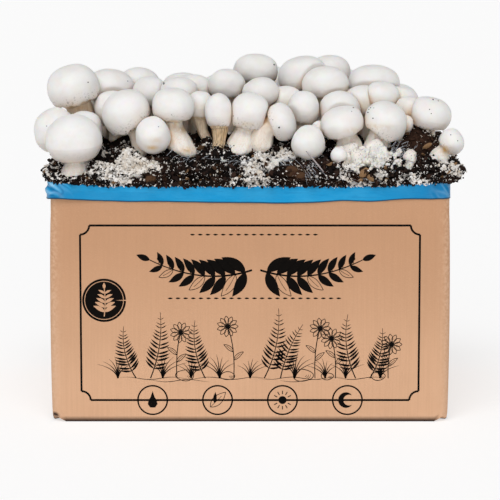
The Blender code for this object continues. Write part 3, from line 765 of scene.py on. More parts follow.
def frond(base, tip, bow, pairs, size):
    """A fern frond: a bowed rib with pairs of leaflets that shorten towards its tip."""
    rib = bowed(base, tip, bow, 40)
    figures = [strip(rib, np.linspace(LINE * 1.3, LINE * 0.5, len(rib)))]
    for pair in range(pairs):
        share = 0.16 + 0.8 * pair / pairs
        at = int(share * (len(rib) - 1))
        along, across = directions(rib, at)
        length = size * (1 - share) ** 0.7 * (0.55 + 0.45 * min(share / 0.3, 1))
        for side in (-1, 1):
            end = rib[at] + (across * side + along * 0.55) * length
            figures += leaf(rib[at], end, length * 0.2, True, 0.12 * side)
    return figures


def tuft(base, height, blades, lean):
    """Grass blades that fan out from one spot and thin to a point."""
    figures = []
    for blade in range(blades):
        from_middle = blade - (blades - 1) / 2
        out = from_middle * height * 0.16 + lean
        tall = height * (1 - 0.12 * abs(from_middle))
        bend = (base[0] + out * 0.2, base[1] + tall * 0.7)
        path = curve(base, bend, (base[0] + out * 1.6, base[1] + tall))
        figures.append(strip(path, np.linspace(LINE * 1.6, 0.15, len(path))))
    return figures


def flower(base, height, lean, petals, size):
    """A daisy: a bowed stalk with two leaves, outlined petals and a filled middle."""
    head = (base[0] + lean, base[1] + height)
    stalk = curve(base, (base[0] - lean * 0.3, base[1] + height * 0.6), head)
    figures = [strip(stalk, LINE)]
    figures += leaf(stalk[4], stalk[4] + (size * 0.9, size * 0.8), size * 0.35, False, 0.1)
    figures += leaf(stalk[6], stalk[6] + (-size * 0.9, size * 0.7), size * 0.35, False, -0.1)
    for petal in range(petals):
        angle = 2 * math.pi * petal / petals
        around = np.array([math.cos(angle), math.sin(angle)])
        figures += leaf(head + around * size * 0.28, head + around * size, size * 0.42, False)[:2]
    return figures + [disc(head, size * 0.26)]


def pebble(x, z, wide, tall):
    """A stone drawn as a closed outline with three shading strokes."""
    turn = np.radians(np.linspace(0, 360, 30))
    uneven = 1 + 0.05 * np.sin(turn * 3 + x)
    outline = np.column_stack([x + wide * np.cos(turn) * uneven, z + tall * np.sin(turn) * uneven])
    figures = [strip(outline, LINE * 0.8)]
    for stroke in range(3):
        share = 0.75 - 0.2 * stroke
        angles = np.radians(np.linspace(-60, 15, 8))
        path = np.column_stack([x + wide * share * np.cos(angles), z + tall * share * np.sin(angles)])
        figures.append(strip(path, np.sin(np.linspace(0.2, math.pi - 0.1, 8)) * LINE * 0.6))
    return figures


def notched_frame(left, right, low, high, notch):
    """A thin frame whose corners are quarter rounds cut inwards."""
    path = []
    for x, z, start in ((left, low, 90), (right, low, 180), (right, high, 270), (left, high, 0)):
        path.append(arc((x, z), notch, start, start - 90, 8))
    outline = np.concatenate(path + [path[0][:1]])
    figures = []
    for first, second in zip(outline, outline[1:]):
        count = max(int(np.hypot(*(second - first)) / 5), 2)
        figures.append(strip(np.linspace(first, second, count), FRAME_LINE))
    return figures


def garland(middle, low, reach):
    """Two bowed branches from the middle outwards, with bold leaves that shorten outwards, and berries."""
    figures = []
    for side in (-1, 1):
        start = (middle + side * 4, low)
        end = (middle + side * reach, low + 10)
        branch = curve(start, (middle + side * reach * 0.5, low - 16), end, 60)
        figures.append(strip(branch, np.linspace(LINE * 2.2, LINE, 60)))
        for number in range(9):
            at = 4 + number * 6
            size = 25 - 1.5 * number
            along, across = directions(branch, at)
            for up in (-1, 1):
                end = branch[at] + (along * 0.75 + across * up * 0.8) * size
                figures += leaf(branch[at], end, size * 0.42, up * side > 0 or number % 3 != 1, 0.1 * up)
            berry = branch[min(at + 3, 59)] + across * side * 5
            figures += [strip([branch[at + 2], berry], LINE * 0.6), disc(berry, 1.9)]
        figures += leaf(branch[-1], branch[-1] + (side * 13, 5), 6)
    return figures


def medallions(z, places, radius):
    """Rings in a row, each with its own plain sign: a drop, a leaf, a sun and a moon."""
    figures = []
    for number, x in enumerate(places):
        figures.append(strip(arc((x, z), radius)[::-1], LINE * 1.7))
        if number == 0:
            drop = [(x, z + rise) for rise in (9, 3, 0, -4, -7.5)]
            figures.append(strip(drop, [0.2, 4, 8, 9.6, 5]))
        if number == 1:
            figures += leaf((x - 7, z - 7), (x + 8, z + 8), 9, False)
            figures += leaf((x - 3, z - 3), (x - 2, z + 8), 3.5)
        if number == 2:
            figures.append(disc((x, z), 4))
            for ray in range(12):
                angle = math.radians(ray * 30)
                around = np.array([math.cos(angle), math.sin(angle)])
                figures.append(strip([(x, z) + around * 6, (x, z) + around * 9.5], LINE))
        if number == 3:
            moon = arc((x, z), 6.5, 50, 310, 24)[::-1]
            figures.append(strip(moon, np.sin(np.linspace(0, math.pi, 24)) * 5 + 0.2))
    return figures


def print_figures():
    """All of the black print: frame, garland, dotted rules, medallions, badge and meadow."""
    figures = notched_frame(*FRAME_SIDES, NOTCH)
    figures += garland(MIDDLE, GARLAND_LOW, GARLAND_REACH)
    for z, reach in RULES:
        for x in np.arange(-reach, reach + 1, DOT_STEP):
            figures += leaf((MIDDLE + x - DOT_HALF, z), (MIDDLE + x + DOT_HALF, z), DOT_WIDTH)
    figures += medallions(FRAME_SIDES[2], MEDALLIONS, MEDALLION_RADIUS)
    figures.append(disc(BADGE, BADGE_RADIUS))
    for row, (left, right) in enumerate(GROUND_LINES):
        x = np.linspace(left, right, 30)
        z = GROUND - 2.4 * (row > 3) + 1.2 * np.sin(x / 7 + row)
        figures.append(strip(np.column_stack([x, z]), LINE * 0.7 * np.sin(np.linspace(0.15, 3.0, 30))))
    for fern in FERNS:
        tip = (fern.x + fern.lean, GROUND + fern.height)
        figures += frond((fern.x, GROUND), tip, fern.bow, LEAFLET_PAIRS, LEAFLET)
    for x, height, lean in FLOWERS:
        figures += flower((x, GROUND), height, lean, PETALS, PETAL)
    for x, height, lean in TUFTS:
        figures += tuft((x, GROUND), height, BLADES, lean)
    for pebble_sizes in PEBBLES:
        figures += pebble(*pebble_sizes)
    return figures


def badge_figures():
    """A sprig in bare kraft on the badge: a stalk with five pairs of leaves inside a ring."""
    x, z = BADGE
    stalk = curve((x, z - 16), (x + 2, z - 2), (x, z + 14))
    figures = [strip(stalk, LINE)]
    for pair in range(5):
        base = stalk[2 + pair * 2]
        size = 11 - 1.2 * pair
        for side in (-1, 1):
            figures += leaf(base, base + (side * size, size * 0.55), size * 0.38, True, 0.1 * side)
    figures += leaf(stalk[-2], stalk[-1] + (0, 3.5), 3)
    return figures + [strip(arc(BADGE, BADGE_RADIUS - 2.5)[::-1], LINE * 0.7)]


def lay_print(name, figures, lift, material):
    """Lays the strips on the front, just clear of the swelling board."""
    points = []
    faces = []
    total = 0
    for figure in figures:
        rows = len(figure)
        x, z = figure.reshape(-1, 2).T
        points.append(np.column_stack([x, -(CARTON_DEPTH / 2 + swell(z)) - lift, z]))
        row = np.arange(rows - 1)[:, None] * 2 + total
        faces.append(row + np.array([0, 2, 3, 1]))
        total += rows * 2
    add_mesh(name, np.concatenate(points), faces, material, False, {"wear": np.zeros(total)})


def build_print():
    """The black print, and the kraft sprig that shows on the badge."""
    lay_print("print_black", print_figures(), INK_LIFT, printing_ink())
    lay_print("print_badge_sprig", badge_figures(), INK_LIFT * 2, kraft_board())


# The bag


def corner_share(x, y):
    """1 at a corner of the rim, falling evenly to 0 at the reach of the bunched film."""
    away = np.hypot(CARTON_WIDTH / 2 - np.abs(x), CARTON_DEPTH / 2 - np.abs(y))
    return np.clip(1 - away / TIP_REACH, 0, 1)


# Share of the bunching that is left at the right, where the film is drawn tight
RIGHT_BUNCHED = 0.05

# The film's surface: steps along X, along Y and round a corner, and rows up the inside, over the rim and down
# the outside. The last rows are painted near-black as the shadow under its lower edge.
FILM_STEPS = (300, 220, 20)
INSIDE_ROWS = 5
RIM_ROWS = 9
HANGING_ROWS = 18
HEM_SHADOW_ROWS = 2
INSIDE_LOW = 22  # how far below the rim the inside starts and ends
INSIDE_HIGH = 2.5
RIM_ROUND = 1.6
DROP_SHARES = (0.1, 1.07)  # of the cuff's drop, at its first and its last row
FILM_SKIN = 0.25
SLANT = np.array([0.8, 0.8, -0.7])  # how the folds at the corners slant with the height

# Pleats of the film at the front corners: a ridge from one end to the other, its height and its width
Pleat = namedtuple("Pleat", "x z end_x end_z height width")
PLEATS = (
    Pleat(-200, 240, -184, 228, 4.0, 1.7),
    Pleat(-193, 241, -174, 231, 3.0, 1.4),
    Pleat(-200, 231, -187, 225, 3.6, 1.6),
    Pleat(-183, 239, -172, 236, 1.2, 1.2),
    Pleat(-168, 238, -156, 232, 0.9, 1.8),
    Pleat(200, 240, 189, 235, 1.6, 1.3),
    Pleat(190, 236, 186, 233, 1.3, 1.0),
    Pleat(176, 238, 160, 232, 0.4, 2.0),
)


def pleated(x, y, z):
    """How high the pleats stand on the front half: each falls off from its line as e^(-(distance / width)^2).
    The distance leaves out Y, so at the left the pleats run on along the wall and end at its middle."""
    total = np.zeros(len(x))
    spot = np.column_stack([x, z])
    for pleat in PLEATS:
        start = np.array([pleat.x, pleat.z], float)
        ahead = np.array([pleat.end_x, pleat.end_z]) - start
        share = np.clip((spot - start) @ ahead / (ahead @ ahead), 0, 1)
        away = np.linalg.norm(spot - start - share[:, None] * ahead, axis=1)
        total = np.maximum(total, pleat.height * (1 - share * 0.6) * np.exp(-((away / pleat.width) ** 2)))
    return total * (y < 0)


def build_film(material):
    """The cuff as rings: up inside the rim, over it and down outside. It stands off by wrinkles that run
    down the cuff, stronger and slanted where the film is bunched at the corners, and by the pleats."""
    rim = CARTON_HEIGHT + GAP + FILM
    inner = -(BOARD + GAP + FILM)
    outer = GAP + FILM / 2
    over = np.linspace(math.pi, 0, RIM_ROWS)
    across = (inner + outer) / 2 + (outer - inner) / 2 * np.cos(over)
    outs = [inner] * INSIDE_ROWS + list(across) + [outer] * HANGING_ROWS
    tops = list(np.linspace(rim - INSIDE_LOW, rim - INSIDE_HIGH, INSIDE_ROWS))
    tops += list(rim - RIM_ROUND + RIM_ROUND * np.sin(over)) + [rim - RIM_ROUND] * HANGING_ROWS
    drops = [0] * (INSIDE_ROWS + RIM_ROWS) + list(np.linspace(*DROP_SHARES, HANGING_ROWS))
    plan, normal = rectangle_ring(CARTON_WIDTH / 2, CARTON_DEPTH / 2, CORNER_RADIUS, *FILM_STEPS)
    x, y = plan.T
    corner = corner_share(x, y)
    tight = smooth_step(corner, 0.55, 1.0)
    bunched = np.where(x > 0, RIGHT_BUNCHED, 1.0)
    lower = CUFF_DROP_MIDDLE * np.cos(math.pi * x / CARTON_WIDTH)
    drop = CUFF_DROP + lower + 0.9 * noise(np.column_stack([x, y, x * 0]), 30, 5)
    near_ends = smooth_step(np.abs(x), 168, 184) * (y < 0)
    rings = []
    layers = {"painted_crease": [], "deep": [], "edge": []}
    for row, (out, top, down) in enumerate(zip(outs, tops, drops)):
        free = row >= INSIDE_ROWS
        height = top - down * drop
        spot = np.column_stack([x, y, height])
        slanted = spot + height[:, None] * SLANT
        waves = 0.5 * noise(spot * (1, 1, 0.35), 14, 1) + 0.25 * noise(spot * (1, 1, 0.5), 5, 2)
        gather = 1 - 2 * np.abs(noise(slanted * (1, 1, 0.3), 5, 3))
        stand = waves * (0.35 + 0.65 * down) + gather * tight * bunched
        stand = stand + corner * TIP_OUT * (0.4 + 0.6 * down) * bunched
        pleats = pleated(x, y, height) * (row > INSIDE_ROWS)
        away = out + stand * free + pleats
        rise = corner * TIP_UP * (1 - down) + tight * 1.2 * noise(spot, 7, 4)
        rings.append(np.column_stack([plan + normal * away[:, None], height + rise * free]))
        # painted highlights on the pleat ridges and on the bunched folds at the corners
        ridges = 0.8 * smooth_step(pleats, 1.2, 3.2)
        layers["painted_crease"].append(np.clip(gather * tight * 0.3 + ridges, 0, 1) * free)
        # darker towards the ends of the cuff, and painted shade in the valleys between the pleats
        ends = 0.75 * smooth_step(x, 90, 190) + 0.35 * smooth_step(-x, 60, 130) * smooth_step(down, 0.2, 0.6)
        valleys = np.exp(-(((pleats - 0.5) / 0.45) ** 2)) * near_ends
        layers["deep"].append(np.clip(ends + valleys, 0, 1))
        # the last rows are painted near-black as the shadow under the film's lower edge
        layers["edge"].append(np.full(len(x), float(row >= len(outs) - HEM_SHADOW_ROWS)))
    attributes = {key: np.stack(values) for key, values in layers.items()}
    film = add_skin("film_cuff", np.stack(rings), material, (False, False), True, attributes)
    skin = film.modifiers.new("film", "SOLIDIFY")
    skin.thickness = FILM_SKIN * MM
    skin.offset = 0
    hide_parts("film_bag")


# The growing medium


def lumps(x, y, size, shift=0.0):
    """Crossing waves of about that size, which add up to uneven lumps between about -1 and 1."""
    total = 0
    for wave in range(WAVES):
        turn = wave * WAVE_TURN + shift
        along = x * math.cos(turn) + y * math.sin(turn)
        length = size * (1 - wave * WAVE_STEP)
        total = total + np.sin(2 * math.pi * along / length + wave * wave + shift) / (1 + 0.3 * wave)
    return total / 2.2


def heaped(height, x, y, mounds):
    """The height with the mounds on it: each falls off from its middle as e^(-distance^2)."""
    for mound in mounds:
        away = ((x - mound.x) / mound.reach_x) ** 2 + ((y - mound.y) / mound.reach_y) ** 2
        height = height + mound.height * np.exp(-away)
    return height


def soil_height(x, y):
    """Height of the top of the growing medium: its level, its lumps and its mounds."""
    return heaped(SOIL_LEVEL + LUMP * lumps(x, y, LUMP_SIZE), x, y, MOUNDS)


def bank(x, y):
    """Height of the top after the edge falls away towards the rim."""
    inset = np.minimum(CARTON_WIDTH / 2 - np.abs(x), CARTON_DEPTH / 2 - np.abs(y))
    low = CARTON_HEIGHT + EDGE_RISE
    return low + (soil_height(x, y) - low) * (1 - np.exp(-np.maximum(inset, 0) / BANK_WIDTH))


Patch = namedtuple("Patch", "x y z reach_x reach_y reach_z strength")
# Where there is more mycelium than elsewhere, or less
PATCHES = (
    Patch(-124, -143, 247, 40, 18, 12, 0.75),
    Patch(-120, -128, 262, 9, 12, 8, 0.9),
    Patch(-95, -142, 241, 14, 12, 7, -1.3),
    Patch(-64, -138, 250, 19, 25, 14, -0.8),
    Patch(-32, -130, 264, 10, 12, 6, 0.3),
    Patch(-8, -143, 247, 24, 14, 12, 0.35),
    Patch(2, -146, 241, 12, 10, 8, 0.5),
    Patch(30, -130, 261, 17, 16, 8, 1.0),
    Patch(44, -142, 248, 11, 10, 7, -1.6),
    Patch(66, -143, 246, 12, 12, 14, 0.0),
    Patch(112, -132, 262, 30, 14, 9, 0.9),
    Patch(112, -144, 243, 34, 12, 9, 0.25),
    Patch(158, -138, 252, 15, 14, 14, 0.45),
    Patch(172, -98, 276, 18, 26, 15, -1.4),
    Patch(194, -130, 253, 16, 18, 14, 0.5),
    Patch(-184, -140, 248, 12, 14, 12, 0.15),
)
RED_LUMPS = (
    Patch(44, -142, 248, 11, 10, 7, 1.0),
    Patch(-96, -138, 246, 16, 14, 12, 0.6),
    Patch(172, -98, 276, 20, 26, 18, 0.5),
    Patch(100, -143, 241, 9, 10, 5, 0.7),
)


def patchy(points, patches):
    """Sum of the patches: each falls off from its centre as e^(-distance^2)."""
    total = np.zeros(points.shape[:-1])
    for patch in patches:
        centre = np.array([patch.x, patch.y, patch.z])
        reach = np.array([patch.reach_x, patch.reach_y, patch.reach_z])
        total += patch.strength * np.exp(-(((points - centre) / reach) ** 2).sum(axis=-1))
    return total


def mycelium(points):
    """How white the soil is, about 0 to 1: veins and clots of noise, lifted or sunk by the patches."""
    clots = 0.8 * noise(points, 9, 11) + 0.5 * noise(points, 4, 12) + 0.5 * noise(points, 26, 13)
    return 0.22 + 0.62 * clots + patchy(points, PATCHES)


def redness(points):
    """How red-brown the soil is, 0 to 1."""
    return np.clip(0.25 * noise(points, 16, 41) + patchy(points, RED_LUMPS), 0, 1)


# Where the soil is scooped out or heaped beyond the CAD model's mounds, mostly round the feet at the front
HOLLOWS = (
    Mound(-174, -142, -13, 17, 12),
    Mound(-142, -116, -11, 20, 17),
    Mound(-46, -118, -5, 12, 12),
    Mound(-60, -134, -6, 15, 11),
    Mound(23, -124, -12, 9, 9),
    Mound(77, -124, -11, 7, 12),
    Mound(-104, -120, -5, 9, 9),
    Mound(112, -134, -5, 28, 9),
    Mound(62, -140, -4, 16, 8),
    Mound(48, -141, 2, 8, 6),
)

# The soil's surface: steps along X, along Y and round a corner, rows up the crumbling edge, shares of the way
# from the edge to the first row of the top, and how far in from the edge each row of the top lies
SOIL_STEPS = (250, 180, 16)
EDGE_ROWS = 12
SHOULDER_SHARES = (0.25, 0.5, 0.75, 1)
TOP_INSETS = np.concatenate([np.arange(4, 46, 1.6), np.linspace(47, CARTON_DEPTH / 2 - 0.01, 30)])
EDGE_SHARES = ((0, 1, 6, EDGE_RISE), (0, 0.4, 1, 1))  # rises, and the share of the overhang at each
# The edge is lower in front of the mushroom at the left: how much, where and how far
EDGE_DIP = 0.75
EDGE_DIP_X = -174
EDGE_DIP_REACH = 17


def soil_rings():
    """Rings of the growing medium and how rough each may be: from the floor of the bag up inside the film,
    out over the rim, up the crumbling edge and in across the lumpy top to its middle line."""
    wall = BOARD + 2 * GAP + FILM
    half_x = CARTON_WIDTH / 2
    half_y = CARTON_DEPTH / 2
    lip = CARTON_HEIGHT + 3 * GAP + FILM
    inside, _ = rectangle_ring(half_x - wall, half_y - wall, CORNER_RADIUS - BOARD, *SOIL_STEPS)
    plan, normal = rectangle_ring(half_x, half_y, CORNER_RADIUS, *SOIL_STEPS)
    x, y = plan.T
    reach = OVERHANG_FRONT * normal[:, 1] ** 2
    reach = reach + normal[:, 0] ** 2 * np.where(x > 0, OVERHANG_RIGHT, OVERHANG_LEFT)
    corner = corner_share(x, y) * TIP_UP
    rings = [np.column_stack([inside, np.full(len(inside), BOARD + 2.0)])]
    rings.append(np.column_stack([inside, lip + corner]))
    rough = [0, 0]
    dip = 1 - EDGE_DIP * np.exp(-(((x - EDGE_DIP_X) / EDGE_DIP_REACH) ** 2)) * (y < 0)
    for rise in np.linspace(0.5, EDGE_RISE, EDGE_ROWS):
        out = (reach + EDGE_LUMP * lumps(x, y, EDGE_LUMP_SIZE, rise)) * np.interp(rise, *EDGE_SHARES)
        lift = 1 + EDGE_LIFT * lumps(y, x, EDGE_LUMP_SIZE, rise)
        rings.append(np.column_stack([plan + normal * out[:, None], lip + corner + rise * lift * dip]))
        rough.append(min(rise / 3, 1))
    for inset in TOP_INSETS:
        radius = min(18, (half_y - inset) * 0.9)
        inward, _ = rectangle_ring(half_x - inset, half_y - inset, radius, *SOIL_STEPS)
        ring = np.column_stack([inward, heaped(bank(*inward.T), *inward.T, HOLLOWS)])
        if inset == TOP_INSETS[0]:
            last = rings[-1]
            rings += [last + (ring - last) * share for share in SHOULDER_SHARES]
        else:
            rings.append(ring)
    rough += [1] * (len(rings) - len(rough))
    return np.stack(rings), np.array(rough), np.column_stack([normal, np.zeros(len(normal))])


def build_soil(material):
    """The rings roughened: each point moves out from the edge or up from the top by layered noise, with
    sharp gaps where the noise crosses zero."""
    points, rough, outward = soil_rings()
    edge = np.clip(1 - (np.arange(len(points)) - EDGE_ROWS) / 8, 0, 1)[:, None, None]
    push = outward[None] * edge + np.array([0, 0, 1.0]) * (1 - edge * 0.7)
    clods = np.abs(noise(points, 15, 21)) * 5.0 + np.abs(noise(points, 7.5, 22)) * 3.4
    crumbly = clods + np.abs(noise(points, 3.4, 31)) * 2.2 + 1.6 * noise(points, 1.9, 32) - 4.6
    points = points + push * crumbly[..., None] * rough[:, None, None]
    white = mycelium(points)
    attributes = {"mycelium": np.clip(white, 0, 1), "red": redness(points)}
    soil = add_skin("soil", points, material, attributes=attributes)
    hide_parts("growing_medium")
    return points, white


# The mushrooms

CAP_ROWS = 26
LIP_ROW = 6  # the margin, counted from the top of the stem
SHOULDER = 0.87  # below 1 the dome has fuller shoulders than a ball
STEM_ROWS = 20
COLUMNS = 52
LIP = STEM_ROWS + LIP_ROW
# How far each of the front mushrooms has opened, by its place in the table; the others are part open
OPENED = {
    0: 0.0, 1: 0.0, 2: 0.0, 3: 0.4, 4: 0.8, 5: 0.35, 6: 1.0, 7: 0.5,
    8: 0.7, 9: 1.0, 12: 0.6, 13: 0.2, 20: 0.9, 31: 0.0,
}
PART_OPEN = 0.5
# How many millimetres the veil hangs ragged from the margin
RAGGED = {4: 1.6, 5: 1.6, 6: 2.4, 8: 1.2, 9: 2.8, 12: 2.2, 16: 1.4, 20: 2.6}
PART_RAGGED = 0.8


def mushroom_frame(mushroom):
    """Centre, axis and the two directions across the axis."""
    centre = np.array([mushroom.x, mushroom.y, mushroom.z], float)
    axis = unit(np.array([mushroom.lean_x, mushroom.lean_y, 1.0]))
    across = unit(np.cross((0, 1, 0), axis))
    return centre, axis, across, np.cross(axis, across)


# Share of the half width and share of the height, from the stem's top round the margin to the widest place,
# for a closed button, whose underside curls in, and for an open one, whose rolled margin overhangs its veil
CLOSED_RIM = np.array(
    [(0.40, -0.425), (0.47, -0.420), (0.55, -0.41), (0.63, -0.39), (0.70, -0.36), (0.765, -0.325)]
    + [(0.825, -0.285), (0.875, -0.24), (0.915, -0.20), (0.95, -0.16), (0.975, -0.12), (0.992, -0.08)]
)
OPEN_RIM = np.array(
    [(0.50, -0.47), (0.60, -0.42), (0.69, -0.36), (0.745, -0.32), (0.79, -0.335), (0.83, -0.37)]
    + [(0.875, -0.375), (0.92, -0.34), (0.955, -0.28), (0.98, -0.215), (0.993, -0.15), (0.999, -0.09)]
)


def cap_profile(mushroom, opened):
    """The rim between closed and open, then a dome between a ball and a box."""
    rim = CLOSED_RIM + (OPEN_RIM - CLOSED_RIM) * opened
    rim[:3, 0] = np.maximum(rim[:3, 0], mushroom.stem / mushroom.width * np.array([1.1, 1.15, 1.2]))
    turn = np.linspace(0, math.pi / 2, CAP_ROWS)[:-1]
    dome = np.column_stack([np.cos(turn) ** SHOULDER, -0.06 + 0.62 * np.sin(turn) ** SHOULDER])
    return np.concatenate([rim, dome])


def shape_mushroom(index, mushroom):
    """Rings from the foot up the bent stem, round the margin and up to the pole.

    The stem's middle line is bowed. Its width swells from the stem's to the foot's into a bulb, and draws in
    again at the very foot; under the cap it widens into the neck by e^(-(t / 0.14)^2)."""
    centre, axis, across, along = mushroom_frame(mushroom)
    height = mushroom.height
    foot = np.array([mushroom.foot_x, mushroom.foot_y, 0.0])
    foot[2] = bank(foot[0], foot[1]) - FOOT_DEPTH
    start = centre + axis * height * UNDERSIDE
    bend = start - axis * np.linalg.norm(start - foot) * 0.4
    angle = np.arange(COLUMNS) / COLUMNS * 2 * math.pi
    ring = np.stack([np.cos(angle), np.sin(angle)], axis=-1)
    t = np.linspace(1, 0, STEM_ROWS, endpoint=False)[:, None]
    spine = bezier(start, bend, foot, t)
    upright = unit(axis * (1 - t) + np.array([0, 0, 1.0]) * t)
    side_x = unit(np.cross((0, 1, 0), upright))
    side_y = np.cross(upright, side_x)
    width = mushroom.stem + (mushroom.foot - mushroom.stem) * smooth_step(t, 0.1, 0.6)
    opened = OPENED.get(index, PART_OPEN)
    neck = mushroom.width * (0.42 + 0.10 * opened) - mushroom.stem
    width = width + np.maximum(neck, 0) * np.exp(-((t / 0.14) ** 2))
    width = width * (1 - 0.55 * np.clip((t - 0.78) / 0.22, 0, 1) ** 2)
    around = side_x[:, None] * ring[:, :1] + side_y[:, None] * ring[:, 1:]
    stem = spine[:, None] + around * width[..., None] / 2
    fibres = 1 + 0.03 * np.sin(angle * 9 + index) + 0.03 * np.sin(angle * 5 - index * 2)
    swirl = noise(stem, 9, index)[..., None] * 0.07
    stem = spine[:, None] + (stem - spine[:, None]) * (fibres[:, None] + swirl)
    profile = cap_profile(mushroom, opened)
    reach = ring[None] * profile[:, :1, None] * mushroom.width / 2
    level = axis * (profile[:, 1, None, None] * height)
    cap = centre + across * reach[..., :1] + along * reach[..., 1:] + level
    return np.concatenate([stem, cap])


def dent_cap(index, mushroom, points):
    """Moves each point of a cap in or out from its centre by soft noise, and makes the margin ragged."""
    centre, axis, _, _ = mushroom_frame(mushroom)
    cap = points[STEM_ROWS:]
    rel = cap - centre
    uneven = 0.075 * noise(rel, mushroom.width * 0.6, index)
    uneven = uneven + 0.022 * noise(rel, mushroom.width * 0.22, index + 60)
    uneven = uneven + 0.006 * noise(rel, 2.5, index + 300)
    rows = np.arange(len(cap))[:, None]
    margin = np.exp(-(((rows - LIP_ROW + 0.5) / 1.6) ** 2))
    cap = centre + rel * (1 + uneven)[..., None]
    hanging = np.clip(0.3 + noise(rel, 8, index + 120) + 0.9 * noise(rel, 2.4, index + 180), -0.4, 1.4)
    ragged = margin * hanging * RAGGED.get(index, PART_RAGGED)
    points[STEM_ROWS:] = cap - axis * ragged[..., None]
    return points


# How much more room the cap in front gets, how softly the flats are rounded, and how near caps count as near
FRONT_ROOM = 1.6
SOFT = 0.7
NEAR = 4


def press_caps(shapes):
    """Where two caps would run into each other, both are pressed against the plane between them, which
    gives the one in front more room. A point past the plane by d moves back by s ln(1 + e^(d/s)), which
    rounds the edge of the flat."""
    for first, one in enumerate(MUSHROOMS):
        for second, other in enumerate(MUSHROOMS):
            if first == second:
                continue
            centre = np.array([one.x, one.y, one.z], float)
            apart = np.array([other.x, other.y, other.z]) - centre
            distance = np.linalg.norm(apart)
            if distance > (one.width + other.width) / 2 + NEAR:
                continue
            normal = apart / distance
            plane = centre + apart * one.width / (one.width + other.width) + normal * normal[1] * FRONT_ROOM
            cap = shapes[first][STEM_ROWS:]
            past = (cap - plane) @ normal
            back = SOFT * np.logaddexp(0, past / SOFT)
            shapes[first][STEM_ROWS:] = cap - normal * back[..., None]


def gaps_to_caps(points):
    """How far each point is from each mushroom's cap, one layer for each cap."""
    gaps = []
    for other in MUSHROOMS:
        centre, axis, across, along = mushroom_frame(other)
        rel = points - centre
        scaled = np.stack([rel @ across, rel @ along, (rel @ axis) * other.width / other.height], axis=-1)
        gaps.append(np.maximum(np.linalg.norm(scaled, axis=-1) - other.width / 2, 0))
    return np.stack(gaps)


# Stains and bruises on the mushrooms: where the front view shows them, how far they reach, how strong
Stain = namedtuple("Stain", "button x z reach_x reach_z strength")
STAINS = (
    Stain(1, -95, 272, 5.5, 2.4, 0.9),
    Stain(1, -91, 279, 6, 3.5, 0.35),
    Stain(4, -65.5, 287, 6, 3.5, 0.75),
    Stain(4, -74, 292, 4, 6, 0.5),
    Stain(4, -60.6, 268, 6, 2.5, 0.8),
    Stain(3, 191, 268, 3.5, 4, 1.0),
    Stain(20, -170, 305, 16, 6, 0.45),
    Stain(9, 124, 291, 12, 3, 0.4),
    Stain(6, -5, 293, 14, 2.5, 0.35),
    Stain(8, 100, 288, 9, 3, 0.3),
)
# Stems that stand in the shade of others, and how much painted ochre shade they get
SHADED = {5: 1.0, 16: 0.7, 12: 0.3, 7: 0.15, 20: 0.45}
# Caps whose margin is dirty with soil, and how strongly
DIRTY = {1: 0.35, 4: 0.35, 5: 0.3, 6: 0.5, 7: 0.5, 9: 0.5, 12: 0.9, 20: 0.9, 15: 0.4, 3: 0.3}
LITTLE_DIRT = 0.1
FAR = 99  # stands for the gap to a mushroom's own cap


def upward(points):
    """How far the surface through a grid of rings faces up: the z of its unit normal."""
    around = np.roll(points, -1, axis=1) - np.roll(points, 1, axis=1)
    normal = np.cross(around, np.gradient(points, axis=0))
    return normal[..., 2] / np.maximum(np.linalg.norm(normal, axis=-1), 1e-9)


def stained(index, points):
    """The stains of one mushroom: each falls off from its place in the front view as e^(-distance^2)."""
    stain = np.zeros(points.shape[:2])
    for spot in STAINS:
        if spot.button == index:
            away_x = (points[..., 0] - spot.x) / spot.reach_x
            away_z = (points[..., 2] - spot.z) / spot.reach_z
            stain = np.maximum(stain, spot.strength * np.exp(-(away_x**2) - away_z**2))
    return stain


def flesh_attributes(index, points):
    """What colours one mushroom: how much each point is stem, its painted warm shade next to other caps and
    under its margin, its painted shade deep in the crowd, its painted shade in tight creases, its stains, its
    dirt at the margin and the foot, and its painted shade by how far its cap faces down."""
    row = np.arange(len(points))[:, None]
    stem = np.broadcast_to(1 - smooth_step(row, LIP - 3.5, LIP - 0.5), points.shape[:2])
    under = np.exp(-(((row - LIP + 4) / 3.2) ** 2))
    low = 1 - smooth_step(row, LIP, LIP + 12)
    gaps = gaps_to_caps(points)
    own = gaps[index].copy()
    gaps[index] = FAR
    nearest = gaps.min(axis=0)
    # crowd and depth: painted shade for points deep in the stand and on the stems behind the front row
    crowd = np.exp(-gaps / 11).sum(axis=0) + stem * 0.8 * np.exp(-own / 9)
    inside = 0.35 * stem * smooth_step(points[..., 1], -118, -88)
    depth = np.maximum(smooth_step(crowd, 1.2, 2.6) * 0.35, inside)
    # painted warm shade next to other caps, under the margin and a little on the lower cap
    painted_warm_shade = 0.62 * np.exp(-nearest / 3.6) ** 1.2 * low**0.4 + 0.34 * under + 0.08 * low
    dirty = DIRTY.get(index, LITTLE_DIRT) * np.exp(-(((row - LIP) / 3.0) ** 2))
    return {
        "stem": stem,
        "painted_warm_shade": np.clip(painted_warm_shade, 0, 1),
        "deep": np.maximum(depth, stem * SHADED.get(index, 0)),
        # painted orange shade in the tightest creases between caps
        "painted_crease": np.exp(-nearest / 1.0) * (0.25 + 0.75 * low),
        "stain": stained(index, points),
        "dirt": dirty + 0.5 * np.exp(-row / 3.0),
        # painted shade where the cap faces down
        "low": smooth_step(-upward(points), -0.15, 0.75) * (1 - stem),
    }


